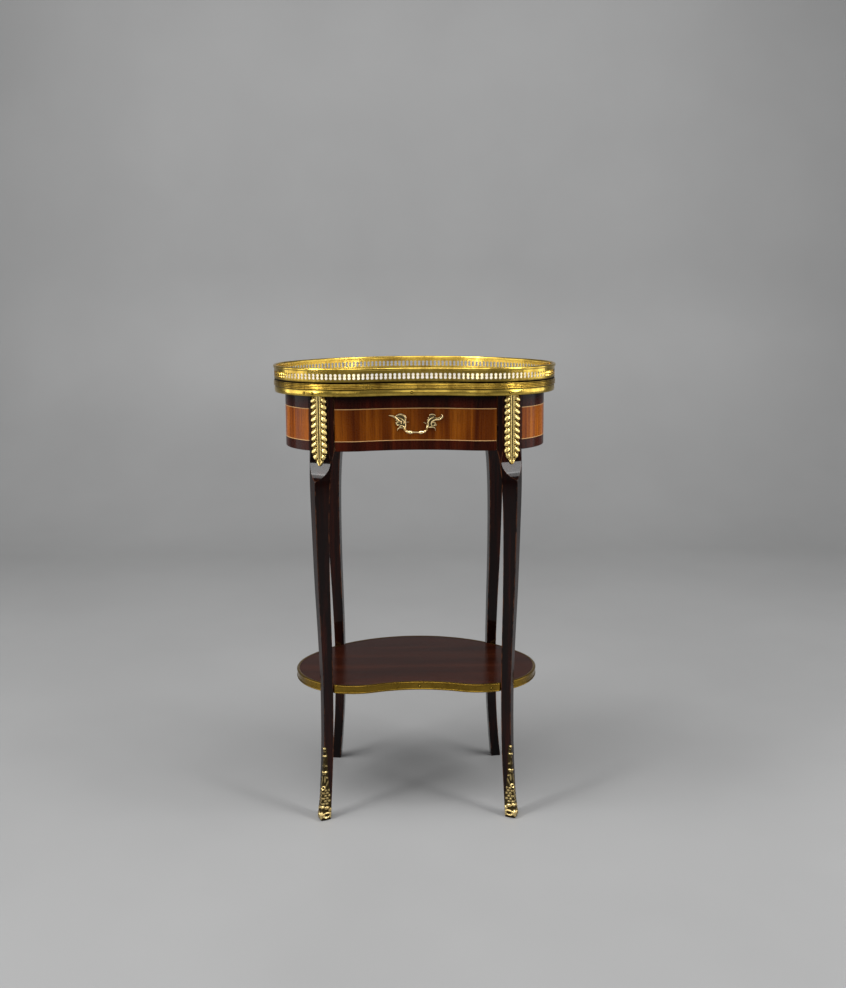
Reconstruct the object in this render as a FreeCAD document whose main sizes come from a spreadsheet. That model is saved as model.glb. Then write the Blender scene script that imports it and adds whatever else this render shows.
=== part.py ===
"""Kidney-shaped gueridon with a pierced brass gallery, a marble top, one drawer and a lower shelf.

Millimetres, Z up, floor at zero.  The drawer faces -Y and X runs to the right.
"""
import FreeCAD, Part
import math
import os

import Sketcher
from FreeCAD import Placement, Rotation, Vector

# Driving dimensions
SIZES = {
    # plan of the top and of the case under it
    "top_width": 445.0,
    "top_depth": 300.0,
    "end_radius": 118.0,
    "front_hollow": 15.0,
    "case_bottom": 583.0,
    "case_height": 85.0,
    "apron_inset": 18.0,
    "apron_thickness": 16.0,
    # top: board, brass bands, marble and gallery
    "board_thickness": 9.0,
    "band_inset": 2.0,
    "band_thickness": 2.0,
    "moulding_inset": 0.5,
    "moulding_thickness": 6.0,
    "moulding_height": 12.0,
    "reed_depth": 1.0,
    "strip_inset": 1.6,
    "strip_thickness": 1.6,
    "strip_height": 17.7,
    "pierce_pitch": 6.85,
    "pierce_width": 4.3,
    "pierce_waist": 2.5,
    "pierce_height": 10.2,
    "pierce_rise": 2.6,
    "rim_width": 4.6,
    "rim_height": 3.3,
    "rim_bevel": 1.2,
    "fit_gap": 0.3,
    # legs, measured along the outward direction of each leg
    "front_leg_angle": 22.6,
    "back_leg_angle": 37.8,
    "leg_block": 30.0,
    "neck_drop": 15.0,
    "neck_reach": 4.5,
    "neck_side": 27.2,
    "knee_drop": 55.0,
    "knee_reach": 9.0,
    "knee_side": 24.4,
    "calf_drop": 115.0,
    "calf_reach": 9.8,
    "calf_side": 21.6,
    "shin_drop": 210.0,
    "shin_reach": 7.0,
    "shin_side": 19.2,
    "waist_height": 280.0,
    "waist_reach": 1.4,
    "waist_side": 17.2,
    "stretch_reach": -1.5,
    "stretch_side": 16.2,
    "ankle_height": 110.0,
    "ankle_reach": 0.8,
    "ankle_side": 15.6,
    "heel_height": 42.0,
    "heel_reach": 8.0,
    "heel_side": 15.4,
    "sole_reach": 14.5,
    "sole_side": 16.0,
    "facet_depth": 14.5,
    "facet_drop": 13.0,
    "stop_radius": 42.0,
    "tenon_thickness": 6.0,
    "tenon_inset": 8.0,
    "tenon_start": 5.0,
    "tenon_length": 20.0,
    "tenon_height": 52.0,
    # gilt mounts of the legs
    "chute_width": 24.0,
    "chute_point": 13.0,
    "chute_notch": 2.2,
    "chute_plate": 1.8,
    "chute_rib": 4.2,
    "chute_rib_width": 4.0,
    "chute_top_gap": 0.6,
    "chute_drop": 21.0,
    "sabot_height": 116.0,
    "sabot_wall": 1.6,
    "sabot_spread": 11.0,
    "sabot_toe_height": 11.6,
    "sabot_ankle": 7.0,
    "sabot_ankle_height": 23.2,
    "sabot_waist": 5.2,
    "sabot_waist_height": 52.2,
    "sabot_tip": 1.4,
    # lower shelf
    "shelf_top": 213.5,
    "shelf_thickness": 13.0,
    "shelf_side_inset": 26.5,
    "shelf_front_inset": 21.0,
    "shelf_back_inset": 29.0,
    "shelf_end_inset": 20.0,
    "shelf_hollow": 16.0,
    "notch_gap": 1.2,
    "edging_thickness": 3.2,
    "edging_bevel": 2.2,
    "edging_bevel_depth": 1.0,
    # drawer and what it runs on
    "drawer_gap": 0.8,
    "drawer_setback": 11.0,
    "drawer_wall": 9.0,
    "drawer_back_clear": 48.0,
    "drawer_rise": 19.0,
    "drawer_wall_height": 50.0,
    "bottom_rise": 3.0,
    "bottom_thickness": 4.0,
    "groove_depth": 4.0,
    "rebate_depth": 7.5,
    "rail_height": 16.0,
    "rail_thickness": 17.0,
    "runner_thickness": 9.0,
    "runner_width": 24.0,
    "guide_height": 15.0,
    # pull on the drawer front
    "pull_height": 42.0,
    "pull_plate": 4.0,
    "pull_root": 2.0,
    "pull_spread": 40.0,
    "pull_rise": 12.5,
    "bar_span": 34.0,
    "bar_reach": 13.0,
    "bar_bend": 6.0,
    "bar_radius": 2.4,
    # glue blocks
    "block_length": 26.0,
    "block_section": 14.0,
    "end_block_angle": 20.0,
    "back_block_angle": 17.0,
}

doc = FreeCAD.newDocument("gueridon")
sheet = doc.addObject("Spreadsheet::Sheet", "Sizes")
for row, (alias, number) in enumerate(SIZES.items(), start=1):
    sheet.set(f"A{row}", alias)
    sheet.set(f"B{row}", str(number))
    sheet.setAlias(f"B{row}", alias)
doc.recompute()

nodes = {}


class Dim:
    """A size with its present value and the sheet expression that drives it."""

    def __init__(self, value, text):
        self.value = value
        self.text = text

    @staticmethod
    def of(thing):
        return thing if isinstance(thing, Dim) else Dim(float(thing), f"({float(thing)})")

    def __add__(self, other):
        other = Dim.of(other)
        return Dim(self.value + other.value, f"({self.text} + {other.text})")

    def __sub__(self, other):
        other = Dim.of(other)
        return Dim(self.value - other.value, f"({self.text} - {other.text})")

    def __mul__(self, other):
        other = Dim.of(other)
        return Dim(self.value * other.value, f"({self.text} * {other.text})")

    def __truediv__(self, other):
        other = Dim.of(other)
        return Dim(self.value / other.value, f"({self.text} / {other.text})")

    def __neg__(self):
        return self * -1

    def __rsub__(self, other):
        return Dim.of(other) - self

    __radd__ = __add__
    __rmul__ = __mul__


def size(alias):
    return Dim(SIZES[alias], f"Sizes.{alias}")


def root(dim):
    return Dim(math.sqrt(dim.value), f"sqrt({dim.text})")


def sine(degrees):
    return Dim(math.sin(math.radians(degrees.value)), f"sin({degrees.text})")


def cosine(degrees):
    return Dim(math.cos(math.radians(degrees.value)), f"cos({degrees.text})")


def origin_plane(body, role):
    return next(feature for feature in body.Origin.OriginFeatures if feature.Role == role)


class Drawing:
    """A sketch on one of its body's origin planes, with every point tied to the sheet."""

    def __init__(self, body, name, role="XY_Plane", lift=0):
        lift = Dim.of(lift)
        self.sketch = body.newObject("Sketcher::SketchObject", name)
        self.sketch.AttachmentSupport = [(origin_plane(body, role), "")]
        self.sketch.MapMode = "FlatFace"
        self.sketch.AttachmentOffset = Placement(Vector(0, 0, lift.value), Rotation())
        self.sketch.setExpression("AttachmentOffset.Base.z", lift.text)

    def measure(self, kind, *picks, dim):
        index = self.sketch.addConstraint(Sketcher.Constraint(kind, *picks, dim.value))
        self.sketch.setExpression(f"Constraints[{index}]", dim.text)

    def fix_point(self, item, end, x, y):
        self.measure("DistanceX", -1, 1, item, end, dim=Dim.of(x))
        self.measure("DistanceY", -1, 1, item, end, dim=Dim.of(y))

    def path(self, corners, closed=True):
        """Join corners (x, y) by lines, or by an arc after a corner (x, y, "left" or "right", radius)."""
        count = len(corners)
        ends = []
        for index in range(count if closed else count - 1):
            corner = corners[index]
            start = Vector(Dim.of(corner[0]).value, Dim.of(corner[1]).value, 0)
            following = corners[(index + 1) % count]
            stop = Vector(Dim.of(following[0]).value, Dim.of(following[1]).value, 0)
            if len(corner) == 2:
                item = self.sketch.addGeometry(Part.LineSegment(start, stop), False)
                ends.append((item, 1, 2))
                continue
            turn, radius = corner[2], Dim.of(corner[3])
            middle = (start + stop) / 2
            chord = stop - start
            leftward = Vector(-chord.y, chord.x, 0).normalize()
            reach = math.sqrt(max(radius.value ** 2 - chord.Length ** 2 / 4, 0))
            centre = middle + leftward * (reach if turn == "left" else -reach)
            first, last = (start, stop) if turn == "left" else (stop, start)
            angles = [math.atan2(point.y - centre.y, point.x - centre.x) for point in (first, last)]
            circle = Part.Circle(centre, Vector(0, 0, 1), radius.value)
            item = self.sketch.addGeometry(Part.ArcOfCircle(circle, *angles), False)
            self.measure("Radius", item, dim=radius)
            ends.append((item, 1, 2) if turn == "left" else (item, 2, 1))
        for index, (item, start, stop) in enumerate(ends):
            self.fix_point(item, start, *corners[index][:2])
            if closed or index + 1 < len(ends):
                following = ends[(index + 1) % len(ends)]
                joint = Sketcher.Constraint("Coincident", item, stop, following[0], following[1])
                self.sketch.addConstraint(joint)
        if not closed:
            self.fix_point(ends[-1][0], ends[-1][2], *corners[-1][:2])
        return self

    def kidney(self, plan, inset):
        """The four tangent arcs of a kidney, drawn inside its plan by the inset."""
        inset = Dim.of(inset)
        flank = math.atan2(plan.end_y.value - plan.back_y.value, plan.end_x.value)
        lobe = math.atan2(plan.end_y.value - plan.front_y.value, plan.end_x.value)
        arcs = (
            (plan.end_x, plan.end_y, plan.end_radius - inset, lobe - math.pi, flank),
            (Dim.of(0), plan.back_y, plan.back_radius - inset, flank, math.pi - flank),
            (-plan.end_x, plan.end_y, plan.end_radius - inset, math.pi - flank, 2 * math.pi - lobe),
            (Dim.of(0), plan.front_y, plan.front_radius + inset, lobe, math.pi - lobe),
        )
        items = []
        for x, y, radius, begin, finish in arcs:
            circle = Part.Circle(Vector(x.value, y.value, 0), Vector(0, 0, 1), radius.value)
            items.append(self.sketch.addGeometry(Part.ArcOfCircle(circle, begin, finish), False))
        right, back, left, front = items
        for one, one_end, other, other_end in (
            (right, 2, back, 1), (back, 2, left, 1), (left, 2, front, 2), (front, 1, right, 1),
        ):
            self.sketch.addConstraint(Sketcher.Constraint("Tangent", one, one_end, other, other_end))
        for item, (x, y, radius, _, _) in zip(items, arcs):
            self.measure("Radius", item, dim=radius)
            if item in (right, left):
                self.fix_point(item, 3, x, y)
        return self


class Kidney:
    """Plan of a kidney: two round ends, a bowed back and a hollow front, all tangent."""

    def __init__(self, width, depth, end_radius, hollow, shift=0):
        shift = Dim.of(shift)
        spread = depth - end_radius * 2
        self.end_radius = end_radius
        self.end_x = width / 2 - end_radius
        self.end_y = shift - depth / 2 + end_radius
        self.back_radius = depth - end_radius - (spread * spread - self.end_x * self.end_x) / (spread * 2)
        self.back = shift + depth / 2
        self.back_y = self.back - self.back_radius
        shoulder = end_radius - hollow
        square = self.end_x * self.end_x + shoulder * shoulder - end_radius * end_radius
        self.front_radius = square / (hollow * 2)
        self.front = shift - depth / 2 + hollow
        self.front_y = self.front - self.front_radius


TOP = Kidney(size("top_width"), size("top_depth"), size("end_radius"), size("front_hollow"))
SHELF = Kidney(
    size("top_width") - size("shelf_side_inset") * 2,
    size("top_depth") - size("shelf_front_inset") - size("shelf_back_inset"),
    size("end_radius") - size("shelf_end_inset"),
    size("shelf_hollow"),
    (size("shelf_front_inset") - size("shelf_back_inset")) / 2,
)
CASE_BOTTOM = size("case_bottom")
CASE_TOP = CASE_BOTTOM + size("case_height")
APRON_OUT = size("apron_inset")
APRON_IN = APRON_OUT + size("apron_thickness")
BOARD_TOP = CASE_TOP + size("board_thickness")
MOULDING_TOP = BOARD_TOP + size("moulding_height")
RIM_FOOT = MOULDING_TOP + size("strip_height")
HALF_BLOCK = size("leg_block") / math.sqrt(2)
FACET = HALF_BLOCK - size("facet_depth")
GAP = size("fit_gap")
GLUE = GAP / 3
# How far a cutting shape reaches past what it cuts
OVER = 1.0
SQUARE = 90.0


# Small builders shared by the sub-parts

def new_body(label):
    body = doc.addObject("PartDesign::Body", label)
    body.Label = label
    return body


def keep(label, item):
    """Record an object as a sub-part under its own name."""
    item.Label = label
    nodes[label] = item
    return item


def place(item, x=0, y=0, z=0, turn=0):
    """Put an object somewhere, turned about the vertical, with the place tied to the sheet."""
    x, y, z, turn = (Dim.of(number) for number in (x, y, z, turn))
    item.Placement = Placement(Vector(x.value, y.value, z.value), Rotation(Vector(0, 0, 1), turn.value))
    item.setExpression("Placement.Base.x", x.text)
    item.setExpression("Placement.Base.y", y.text)
    item.setExpression("Placement.Base.z", z.text)
    if turn.value:
        item.setExpression("Placement.Rotation.Angle", turn.text)
    return item


def pad(body, drawing, length, both_ways=False):
    feature = body.newObject("PartDesign::Pad", f"{body.Name}_pad")
    feature.Profile = drawing.sketch
    feature.setExpression("Length", Dim.of(length).text)
    if both_ways:
        feature.SideType = "Symmetric"
    return feature


def pocket(body, drawing, length, both_ways=False, turned=False):
    feature = body.newObject("PartDesign::Pocket", f"{body.Name}_pocket")
    feature.Profile = drawing.sketch
    feature.setExpression("Length", Dim.of(length).text)
    feature.Reversed = turned
    if both_ways:
        feature.SideType = "Symmetric"
    return feature


def slab(label, plan, inset, bottom, height):
    body = new_body(label)
    pad(body, Drawing(body, f"{label}_plan").kidney(plan, inset), height)
    return place(body, z=bottom)


def ring(label, plan, outer, inner, bottom, height):
    body = new_body(label)
    drawing = Drawing(body, f"{label}_plan").kidney(plan, outer).kidney(plan, inner)
    pad(body, drawing, height)
    return place(body, z=bottom)


def moulding(label, plan, corners, bottom):
    """Sweep a profile, given as distances in from the plan and up, once round a kidney."""
    body = new_body(label)
    spine = Drawing(body, f"{label}_spine").kidney(plan, 0)
    points = [(plan.back - corner[0], corner[1], *corner[2:]) for corner in corners]
    profile = Drawing(body, f"{label}_profile", "YZ_Plane").path(points)
    sweep = body.newObject("PartDesign::AdditivePipe", f"{label}_sweep")
    sweep.Profile = profile.sketch
    sweep.Spine = (spine.sketch, ["Edge1", "Edge2", "Edge3", "Edge4"])
    return place(body, z=bottom)


def prism(label, corners, bottom, height):
    body = new_body(label)
    pad(body, Drawing(body, f"{label}_plan").path(corners), height)
    return place(body, z=bottom)


def block(label, low, high):
    """A plain box between two opposite corners."""
    (x0, y0, z0), (x1, y1, z1) = low, high
    return prism(label, [(x0, y0), (x1, y0), (x1, y1), (x0, y1)], Dim.of(z0), Dim.of(z1) - z0)


def group(label, items):
    item = doc.addObject("Part::Compound", label)
    item.Links = items
    item.Label = label
    return item


def boolean(kind, label, base, tool):
    item = doc.addObject(f"Part::{kind}", label)
    item.Base = base
    item.Tool = tool
    item.Label = label
    return item


def cut(label, base, tool):
    return boolean("Cut", label, base, tool)


def common(label, base, tool):
    return boolean("Common", label, base, tool)


# Where the four legs stand

class Post:
    """Standing place of a leg: its own +X points outward from the table."""

    def __init__(self, name, x, y, turn, apron_sides):
        self.name = name
        self.x = x
        self.y = y
        self.turn = turn
        self.apron_sides = apron_sides

    def stand(self, item):
        return place(item, self.x, self.y, 0, self.turn)

    def along(self, distance):
        """Point on the leg's outward line at a distance from its axis."""
        return self.x + distance * cosine(self.turn), self.y + distance * sine(self.turn)


def make_posts():
    """Stand each leg with its side corners flush with the face of the apron."""
    front, back = size("front_leg_angle"), size("back_leg_angle")
    end_face = TOP.end_radius - APRON_OUT
    back_face = TOP.back_radius - APRON_OUT
    front_reach = root(end_face * end_face - HALF_BLOCK * HALF_BLOCK)
    back_reach = root(back_face * back_face - HALF_BLOCK * HALF_BLOCK)
    front_x = TOP.end_x + front_reach * sine(front)
    front_y = TOP.end_y - front_reach * cosine(front)
    back_x = back_reach * sine(back)
    back_y = TOP.back_y + back_reach * cosine(back)
    return {
        "front_left": Post("front_left", -front_x, front_y, -SQUARE - front, (-1,)),
        "front_right": Post("front_right", front_x, front_y, front - SQUARE, (1,)),
        "back_left": Post("back_left", -back_x, back_y, back + SQUARE, (1, -1)),
        "back_right": Post("back_right", back_x, back_y, SQUARE - back, (1, -1)),
    }


POSTS = make_posts()
DRAWER_EDGE = POSTS["front_right"].x - HALF_BLOCK * cosine(size("front_leg_angle")) - size("drawer_gap")
DRAWER_HALF = DRAWER_EDGE - size("drawer_setback")
DRAWER_FLOOR = CASE_BOTTOM + size("drawer_rise")


def wedge(label, first, second, bottom, height):
    """Everything that lies between the outward lines of two neighbouring legs."""
    near, far = size("leg_block") * -2, size("leg_block") * 8
    one, other = POSTS[first], POSTS[second]
    corners = [one.along(near), one.along(far), other.along(far), other.along(near)]
    return prism(label, corners, bottom, height)


# Top

def make_top():
    band_in = size("band_inset") + size("band_thickness")
    moulding_in = size("moulding_inset") + size("moulding_thickness")
    thickness = size("board_thickness")
    keep("top_board", slab("top_board", TOP, band_in + GAP, CASE_TOP, thickness))
    keep("plain_band", ring("plain_band", TOP, size("band_inset"), band_in, CASE_TOP, thickness))
    keep("marble_top", slab("marble_top", TOP, moulding_in + GAP, BOARD_TOP, size("moulding_height")))
    keep("reeded_moulding", make_reeded_moulding())
    keep("gallery_strip", make_gallery())
    keep("gallery_rim", make_rim())


def make_reeded_moulding():
    """Three reeds, one above the other."""
    crest, valley = size("moulding_inset"), size("moulding_inset") + size("reed_depth")
    inner = size("moulding_inset") + size("moulding_thickness")
    reeds = 3
    pitch = size("moulding_height") / reeds
    corners = [(inner, 0)]
    for reed in range(reeds):
        corners.append((valley, pitch * reed))
        corners.append((crest, pitch * (reed + 0.5)))
    corners.append((valley, size("moulding_height")))
    corners.append((inner, size("moulding_height")))
    return moulding("reeded_moulding", TOP, corners, BOARD_TOP)


def make_rim():
    """The rail that caps the pierced strip, narrower at its crown."""
    width, height, bevel = size("rim_width"), size("rim_height"), size("rim_bevel")
    corners = [(width, 0), (0, 0), (bevel, height), (width - bevel, height)]
    return moulding("gallery_rim", TOP, corners, RIM_FOOT)


def kidney_stations(plan, inset, pitch):
    """Points and outward directions at an even spacing, an even number of them, once round a kidney."""
    end, back = plan.end_radius.value - inset, plan.back_radius.value - inset
    hollow = plan.front_radius.value + inset
    flank = math.atan2(plan.end_y.value - plan.back_y.value, plan.end_x.value)
    lobe = math.atan2(plan.end_y.value - plan.front_y.value, plan.end_x.value)
    back_centre = Vector(0, plan.back_y.value, 0)
    end_centre = Vector(plan.end_x.value, plan.end_y.value, 0)
    runs = (
        (back_centre, back, math.pi / 2, math.pi - flank, 1),
        (Vector(-end_centre.x, end_centre.y, 0), end, math.pi - flank, 2 * math.pi - lobe, 1),
        (Vector(0, plan.front_y.value, 0), hollow, math.pi - lobe, lobe, -1),
        (end_centre, end, lobe - math.pi, flank, 1),
        (back_centre, back, flank, math.pi / 2, 1),
    )
    total = sum(radius * abs(finish - begin) for _, radius, begin, finish, _ in runs)
    count = 2 * round(total / pitch / 2)
    stations = []
    travelled = 0.0
    for centre, radius, begin, finish, outward in runs:
        length = radius * abs(finish - begin)
        while len(stations) < count and len(stations) * total / count < travelled + length:
            share = (len(stations) * total / count - travelled) / length
            angle = begin + (finish - begin) * share
            spoke = Vector(math.cos(angle), math.sin(angle), 0)
            stations.append((centre + spoke * radius, spoke * outward))
        travelled += length
    return stations


def make_gallery():
    """An upright strip in short flat lengths, each pierced by two waisted openings between balusters."""
    wall, foot = SIZES["strip_thickness"], Vector(0, 0, MOULDING_TOP.value)
    places = (0.25, 0.75)
    half, waist, rise = SIZES["pierce_width"] / 2, SIZES["pierce_waist"] / 2, SIZES["pierce_height"] / 2
    outline = [(-half, -rise), (half, -rise), (waist, 0), (half, rise), (-half, rise), (-waist, 0)]
    middle = Vector(0, 0, SIZES["pierce_rise"] + rise)
    stations = kidney_stations(TOP, SIZES["strip_inset"] + wall / 2, len(places) * SIZES["pierce_pitch"])
    edges = []
    for offset in (wall / 2, -wall / 2):
        corners = [point + outward * offset + foot for point, outward in stations]
        edges.append(Part.makePolygon([*corners, corners[0]]))
    strip = doc.addObject("Part::Feature", "strip_blank")
    strip.Shape = Part.makeFace(edges, "Part::FaceMakerBullseye").extrude(Vector(0, 0, SIZES["strip_height"]))
    punches = []
    for index, (point, _) in enumerate(stations):
        run = stations[(index + 1) % len(stations)][0] - point
        along = Vector(run).normalize()
        outward = Vector(along.y, -along.x, 0)
        for share in places:
            start = point + run * share + foot + middle - outward * wall
            corners = [start + along * x + Vector(0, 0, z) for x, z in outline]
            punches.append(Part.Face(Part.makePolygon([*corners, corners[0]])).extrude(outward * (2 * wall)))
    punch = doc.addObject("Part::Feature", "gallery_punches")
    punch.Shape = Part.makeCompound(punches)
    return cut("gallery_strip", strip, punch)


# Legs and their mounts

LEG_STATIONS = (
    ("neck", CASE_BOTTOM - size("neck_drop"), size("neck_reach"), size("neck_side")),
    ("knee", CASE_BOTTOM - size("knee_drop"), size("knee_reach"), size("knee_side")),
    ("calf", CASE_BOTTOM - size("calf_drop"), size("calf_reach"), size("calf_side")),
    ("shin", CASE_BOTTOM - size("shin_drop"), size("shin_reach"), size("shin_side")),
    ("waist", size("waist_height"), size("waist_reach"), size("waist_side")),
    ("stretch", size("shelf_top") - size("shelf_thickness") / 2, size("stretch_reach"), size("stretch_side")),
    ("ankle", size("ankle_height"), size("ankle_reach"), size("ankle_side")),
    ("heel", size("heel_height"), size("heel_reach"), size("heel_side")),
    ("sole", Dim.of(0), size("sole_reach"), size("sole_side")),
)


def diamond(reach, side):
    """Corners of a square section that stands on its corner, pointing outward."""
    half = side / math.sqrt(2)
    return [(reach + half, 0), (reach, half), (reach - half, 0), (reach, -half)]


def leg_loft(body, growth=0):
    """The bent and tapered part of a leg, from the case to the floor, thicker by the growth on each face."""
    seat = Drawing(body, f"{body.Name}_seat", lift=CASE_BOTTOM)
    sections = [seat.path(diamond(Dim.of(0), size("leg_block") + growth))]
    for name, height, reach, side in LEG_STATIONS:
        drawing = Drawing(body, f"{body.Name}_{name}", lift=height)
        sections.append(drawing.path(diamond(reach, side + growth)))
    loft = body.newObject("PartDesign::AdditiveLoft", f"{body.Name}_loft")
    loft.Profile = sections[0].sketch
    loft.Sections = [section.sketch for section in sections[1:]]
    return body


def make_leg(post):
    """A square leg set cornerwise, with a flat for the chute that dies into the arris below."""
    label = f"{post.name}_leg"
    body = leg_loft(new_body(f"{label}_blank"))
    top = Drawing(body, f"{label}_block", lift=CASE_BOTTOM).path(diamond(Dim.of(0), size("leg_block")))
    pad(body, top, size("case_height"))
    stop = CASE_BOTTOM - size("facet_drop")
    bend = size("stop_radius")
    above = CASE_TOP + OVER
    beyond = FACET + bend
    corners = [(FACET, above), (FACET, stop, "left", bend), (beyond, stop - bend), (beyond, above)]
    facet = Drawing(body, f"{label}_facet", "XZ_Plane").path(corners)
    pocket(body, facet, size("leg_block") * 4, both_ways=True)
    for side in post.apron_sides:
        drawing = Drawing(body, f"{label}_mortise", "XZ_Plane", lift=size("tenon_start") * -side)
        drawing.path(tenon_outline(GAP / 2))
        pocket(body, drawing, size("tenon_length"), turned=side < 0)
    return post.stand(body)


def tenon_outline(gap):
    """Section of a loose tenon, or of its mortise with a gap all round, in a leg's own upright plane."""
    gap = Dim.of(gap)
    middle = -size("tenon_inset")
    half = size("tenon_thickness") / 2 + gap
    low = CASE_BOTTOM + (size("case_height") - size("tenon_height")) / 2 - gap
    high = low + size("tenon_height") + gap * 2
    return [(middle - half, low), (middle + half, low), (middle + half, high), (middle - half, high)]


def make_tenon(post, side, gap=0):
    label = f"{post.name}_tenon"
    body = new_body(label)
    drawing = Drawing(body, f"{label}_section", "XZ_Plane", lift=size("tenon_start") * -side)
    drawing.path(tenon_outline(gap))
    feature = pad(body, drawing, size("tenon_length") + gap)
    feature.Reversed = side > 0
    return post.stand(body)


def make_socket(post):
    """The room that a leg takes up in the case, with a little clearance."""
    label = f"{post.name}_socket"
    body = new_body(label)
    corners = diamond(Dim.of(0), size("leg_block") + GAP)
    drawing = Drawing(body, f"{label}_plan", lift=CASE_BOTTOM - OVER).path(corners)
    pad(body, drawing, size("case_height") + 2 * OVER)
    return post.stand(body)


def make_notch(post):
    """The room that a leg takes up in the shelf."""
    label = f"{post.name}_notch"
    body = new_body(label)
    corners = diamond(size("stretch_reach"), size("stretch_side") + size("notch_gap"))
    low = size("shelf_top") - size("shelf_thickness") - OVER
    drawing = Drawing(body, f"{label}_plan", lift=low).path(corners)
    pad(body, drawing, size("shelf_thickness") + 2 * OVER)
    return post.stand(body)


def chute_outline(low, high):
    """Leaf tips and notches down both edges of a chute, which ends in a point."""
    leaves, tip_share = 8, 0.7
    tip = size("chute_width") / 2
    notch = tip - size("chute_notch")
    pitch = (high - low - size("chute_point")) / leaves
    right = []
    for leaf in range(leaves):
        top = high - pitch * leaf
        right.append((notch, top))
        right.append((tip, top - pitch * tip_share))
    left = [(-y, z) for y, z in reversed(right)]
    return [*right, (Dim.of(0), low), *left]


def make_chute(post):
    """A long leaf mount on the flat of the leg: a scalloped plate with a raised rib and a curved tip."""
    label = f"{post.name}_chute"
    body = new_body(label)
    low = CASE_BOTTOM - size("chute_drop")
    high = CASE_TOP - size("chute_top_gap")
    seat = FACET + GAP / 2
    plate = Drawing(body, f"{label}_plate", "YZ_Plane", lift=seat).path(chute_outline(low, high))
    pad(body, plate, size("chute_plate"))
    half = size("chute_rib_width") / 2
    end = low + size("chute_point")
    rib = Drawing(body, f"{label}_rib", "YZ_Plane", lift=seat)
    rib.path([(half, high), (half / 2, end), (-half / 2, end), (-half, high)])
    pad(body, rib, size("chute_rib"))
    stop = CASE_BOTTOM - size("facet_drop")
    bend = size("stop_radius")
    scoop = [(seat, stop, "left", bend), (seat + bend, stop - bend), (FACET, stop - bend), (FACET, stop)]
    hollow = Drawing(body, f"{label}_scoop", "XZ_Plane").path(scoop)
    pocket(body, hollow, size("chute_width") * 2, both_ways=True)
    return post.stand(keep(label, body))


def make_sabot(post):
    """A tall foot mount that wraps the outer arris of the foot and narrows to a tip."""
    label = f"{post.name}_sabot"
    shoe = post.stand(leg_loft(new_body(f"{label}_outside"), size("sabot_wall") * 2))
    foot = post.stand(leg_loft(new_body(f"{label}_inside"), GAP))
    side = [
        (size("sabot_spread"), 0),
        (size("sabot_spread"), size("sabot_toe_height")),
        (size("sabot_ankle"), size("sabot_ankle_height")),
        (size("sabot_waist"), size("sabot_waist_height")),
        (size("sabot_tip"), size("sabot_height")),
    ]
    outline = [*side, *[(-y, z) for y, z in reversed(side)]]
    leaf = new_body(f"{label}_leaf")
    reach = size("leg_block") * 2
    pad(leaf, Drawing(leaf, f"{label}_outline", "YZ_Plane").path(outline), reach)
    half = new_body(f"{label}_half")
    axis = [(middle, height) for _, height, middle, _ in LEG_STATIONS[-4:]]
    front = [*axis, (reach, axis[-1][1]), (reach, axis[0][1])]
    pad(half, Drawing(half, f"{label}_axis", "XZ_Plane").path(front), reach, both_ways=True)
    shell = cut(f"{label}_shell", shoe, foot)
    return keep(label, common(label, common(f"{label}_front", shell, post.stand(half)), post.stand(leaf)))


def make_legs():
    for post in POSTS.values():
        keep(f"{post.name}_leg", make_leg(post))
    for name in ("front_left", "front_right"):
        make_chute(POSTS[name])
        make_sabot(POSTS[name])


# Case

def make_case():
    bottom, height = CASE_BOTTOM, size("case_height")
    sockets = group("sockets", [make_socket(post) for post in POSTS.values()])
    tenons = []
    mortises = []
    for post in POSTS.values():
        for side in post.apron_sides:
            tenons.append(make_tenon(post, side))
            mortises.append(make_tenon(post, side, GAP / 2))
    keep("apron_tenons", group("apron_tenons", tenons))
    rough = ring("apron_blank", TOP, APRON_OUT, APRON_IN, bottom, height)
    jointed = cut("apron_jointed", cut("apron_notched", rough, sockets), group("mortises", mortises))
    for label, first, second in (
        ("left_apron", "back_left", "front_left"),
        ("right_apron", "front_right", "back_right"),
        ("back_apron", "back_right", "back_left"),
    ):
        sector = wedge(f"{label}_sector", first, second, bottom, height)
        keep(label, common(label, jointed, sector))
    rail_out = APRON_OUT + size("rebate_depth") + GAP
    rail = ring("rail_blank", TOP, rail_out, rail_out + size("rail_thickness"), bottom, size("rail_height"))
    rail_sector = wedge("rail_sector", "front_left", "front_right", bottom, size("rail_height"))
    front_rail = common("front_rail", cut("rail_notched", rail, sockets), rail_sector)
    keep("front_rail", front_rail)
    make_runners(sockets, rail_out + size("rail_thickness") + GAP)
    make_blocks()


def make_runners(sockets, rail_back):
    """An L-shaped wooden runner on each side, which carries and guides the drawer."""
    inside = slab("runner_room", TOP, APRON_IN + GAP, CASE_BOTTOM, size("case_height"))
    low, height = CASE_BOTTOM - OVER, size("case_height") + 2 * OVER
    rail_room = ring("rail_room", TOP, APRON_OUT, rail_back, low, height)
    front_room = wedge("front_room", "front_left", "front_right", low, height)
    rail_tool = common("rail_tool", rail_room, front_room)
    floor = DRAWER_FLOOR - GAP
    inner = DRAWER_HALF - size("drawer_wall") - GAP
    guide = DRAWER_HALF + size("drawer_gap")
    outer = inner + size("runner_width")
    for label, side in (("left_runner", -1), ("right_runner", 1)):
        corners = [
            (inner * side, floor - size("runner_thickness")),
            (outer * side, floor - size("runner_thickness")),
            (outer * side, floor + size("guide_height")),
            (guide * side, floor + size("guide_height")),
            (guide * side, floor),
            (inner * side, floor),
        ]
        body = new_body(f"{label}_bar")
        drawing = Drawing(body, f"{label}_section", "XZ_Plane").path(corners)
        pad(body, drawing, size("top_depth"), both_ways=True)
        fitted = cut(f"{label}_fitted", common(f"{label}_long", body, inside), sockets)
        keep(label, cut(label, fitted, rail_tool))


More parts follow.
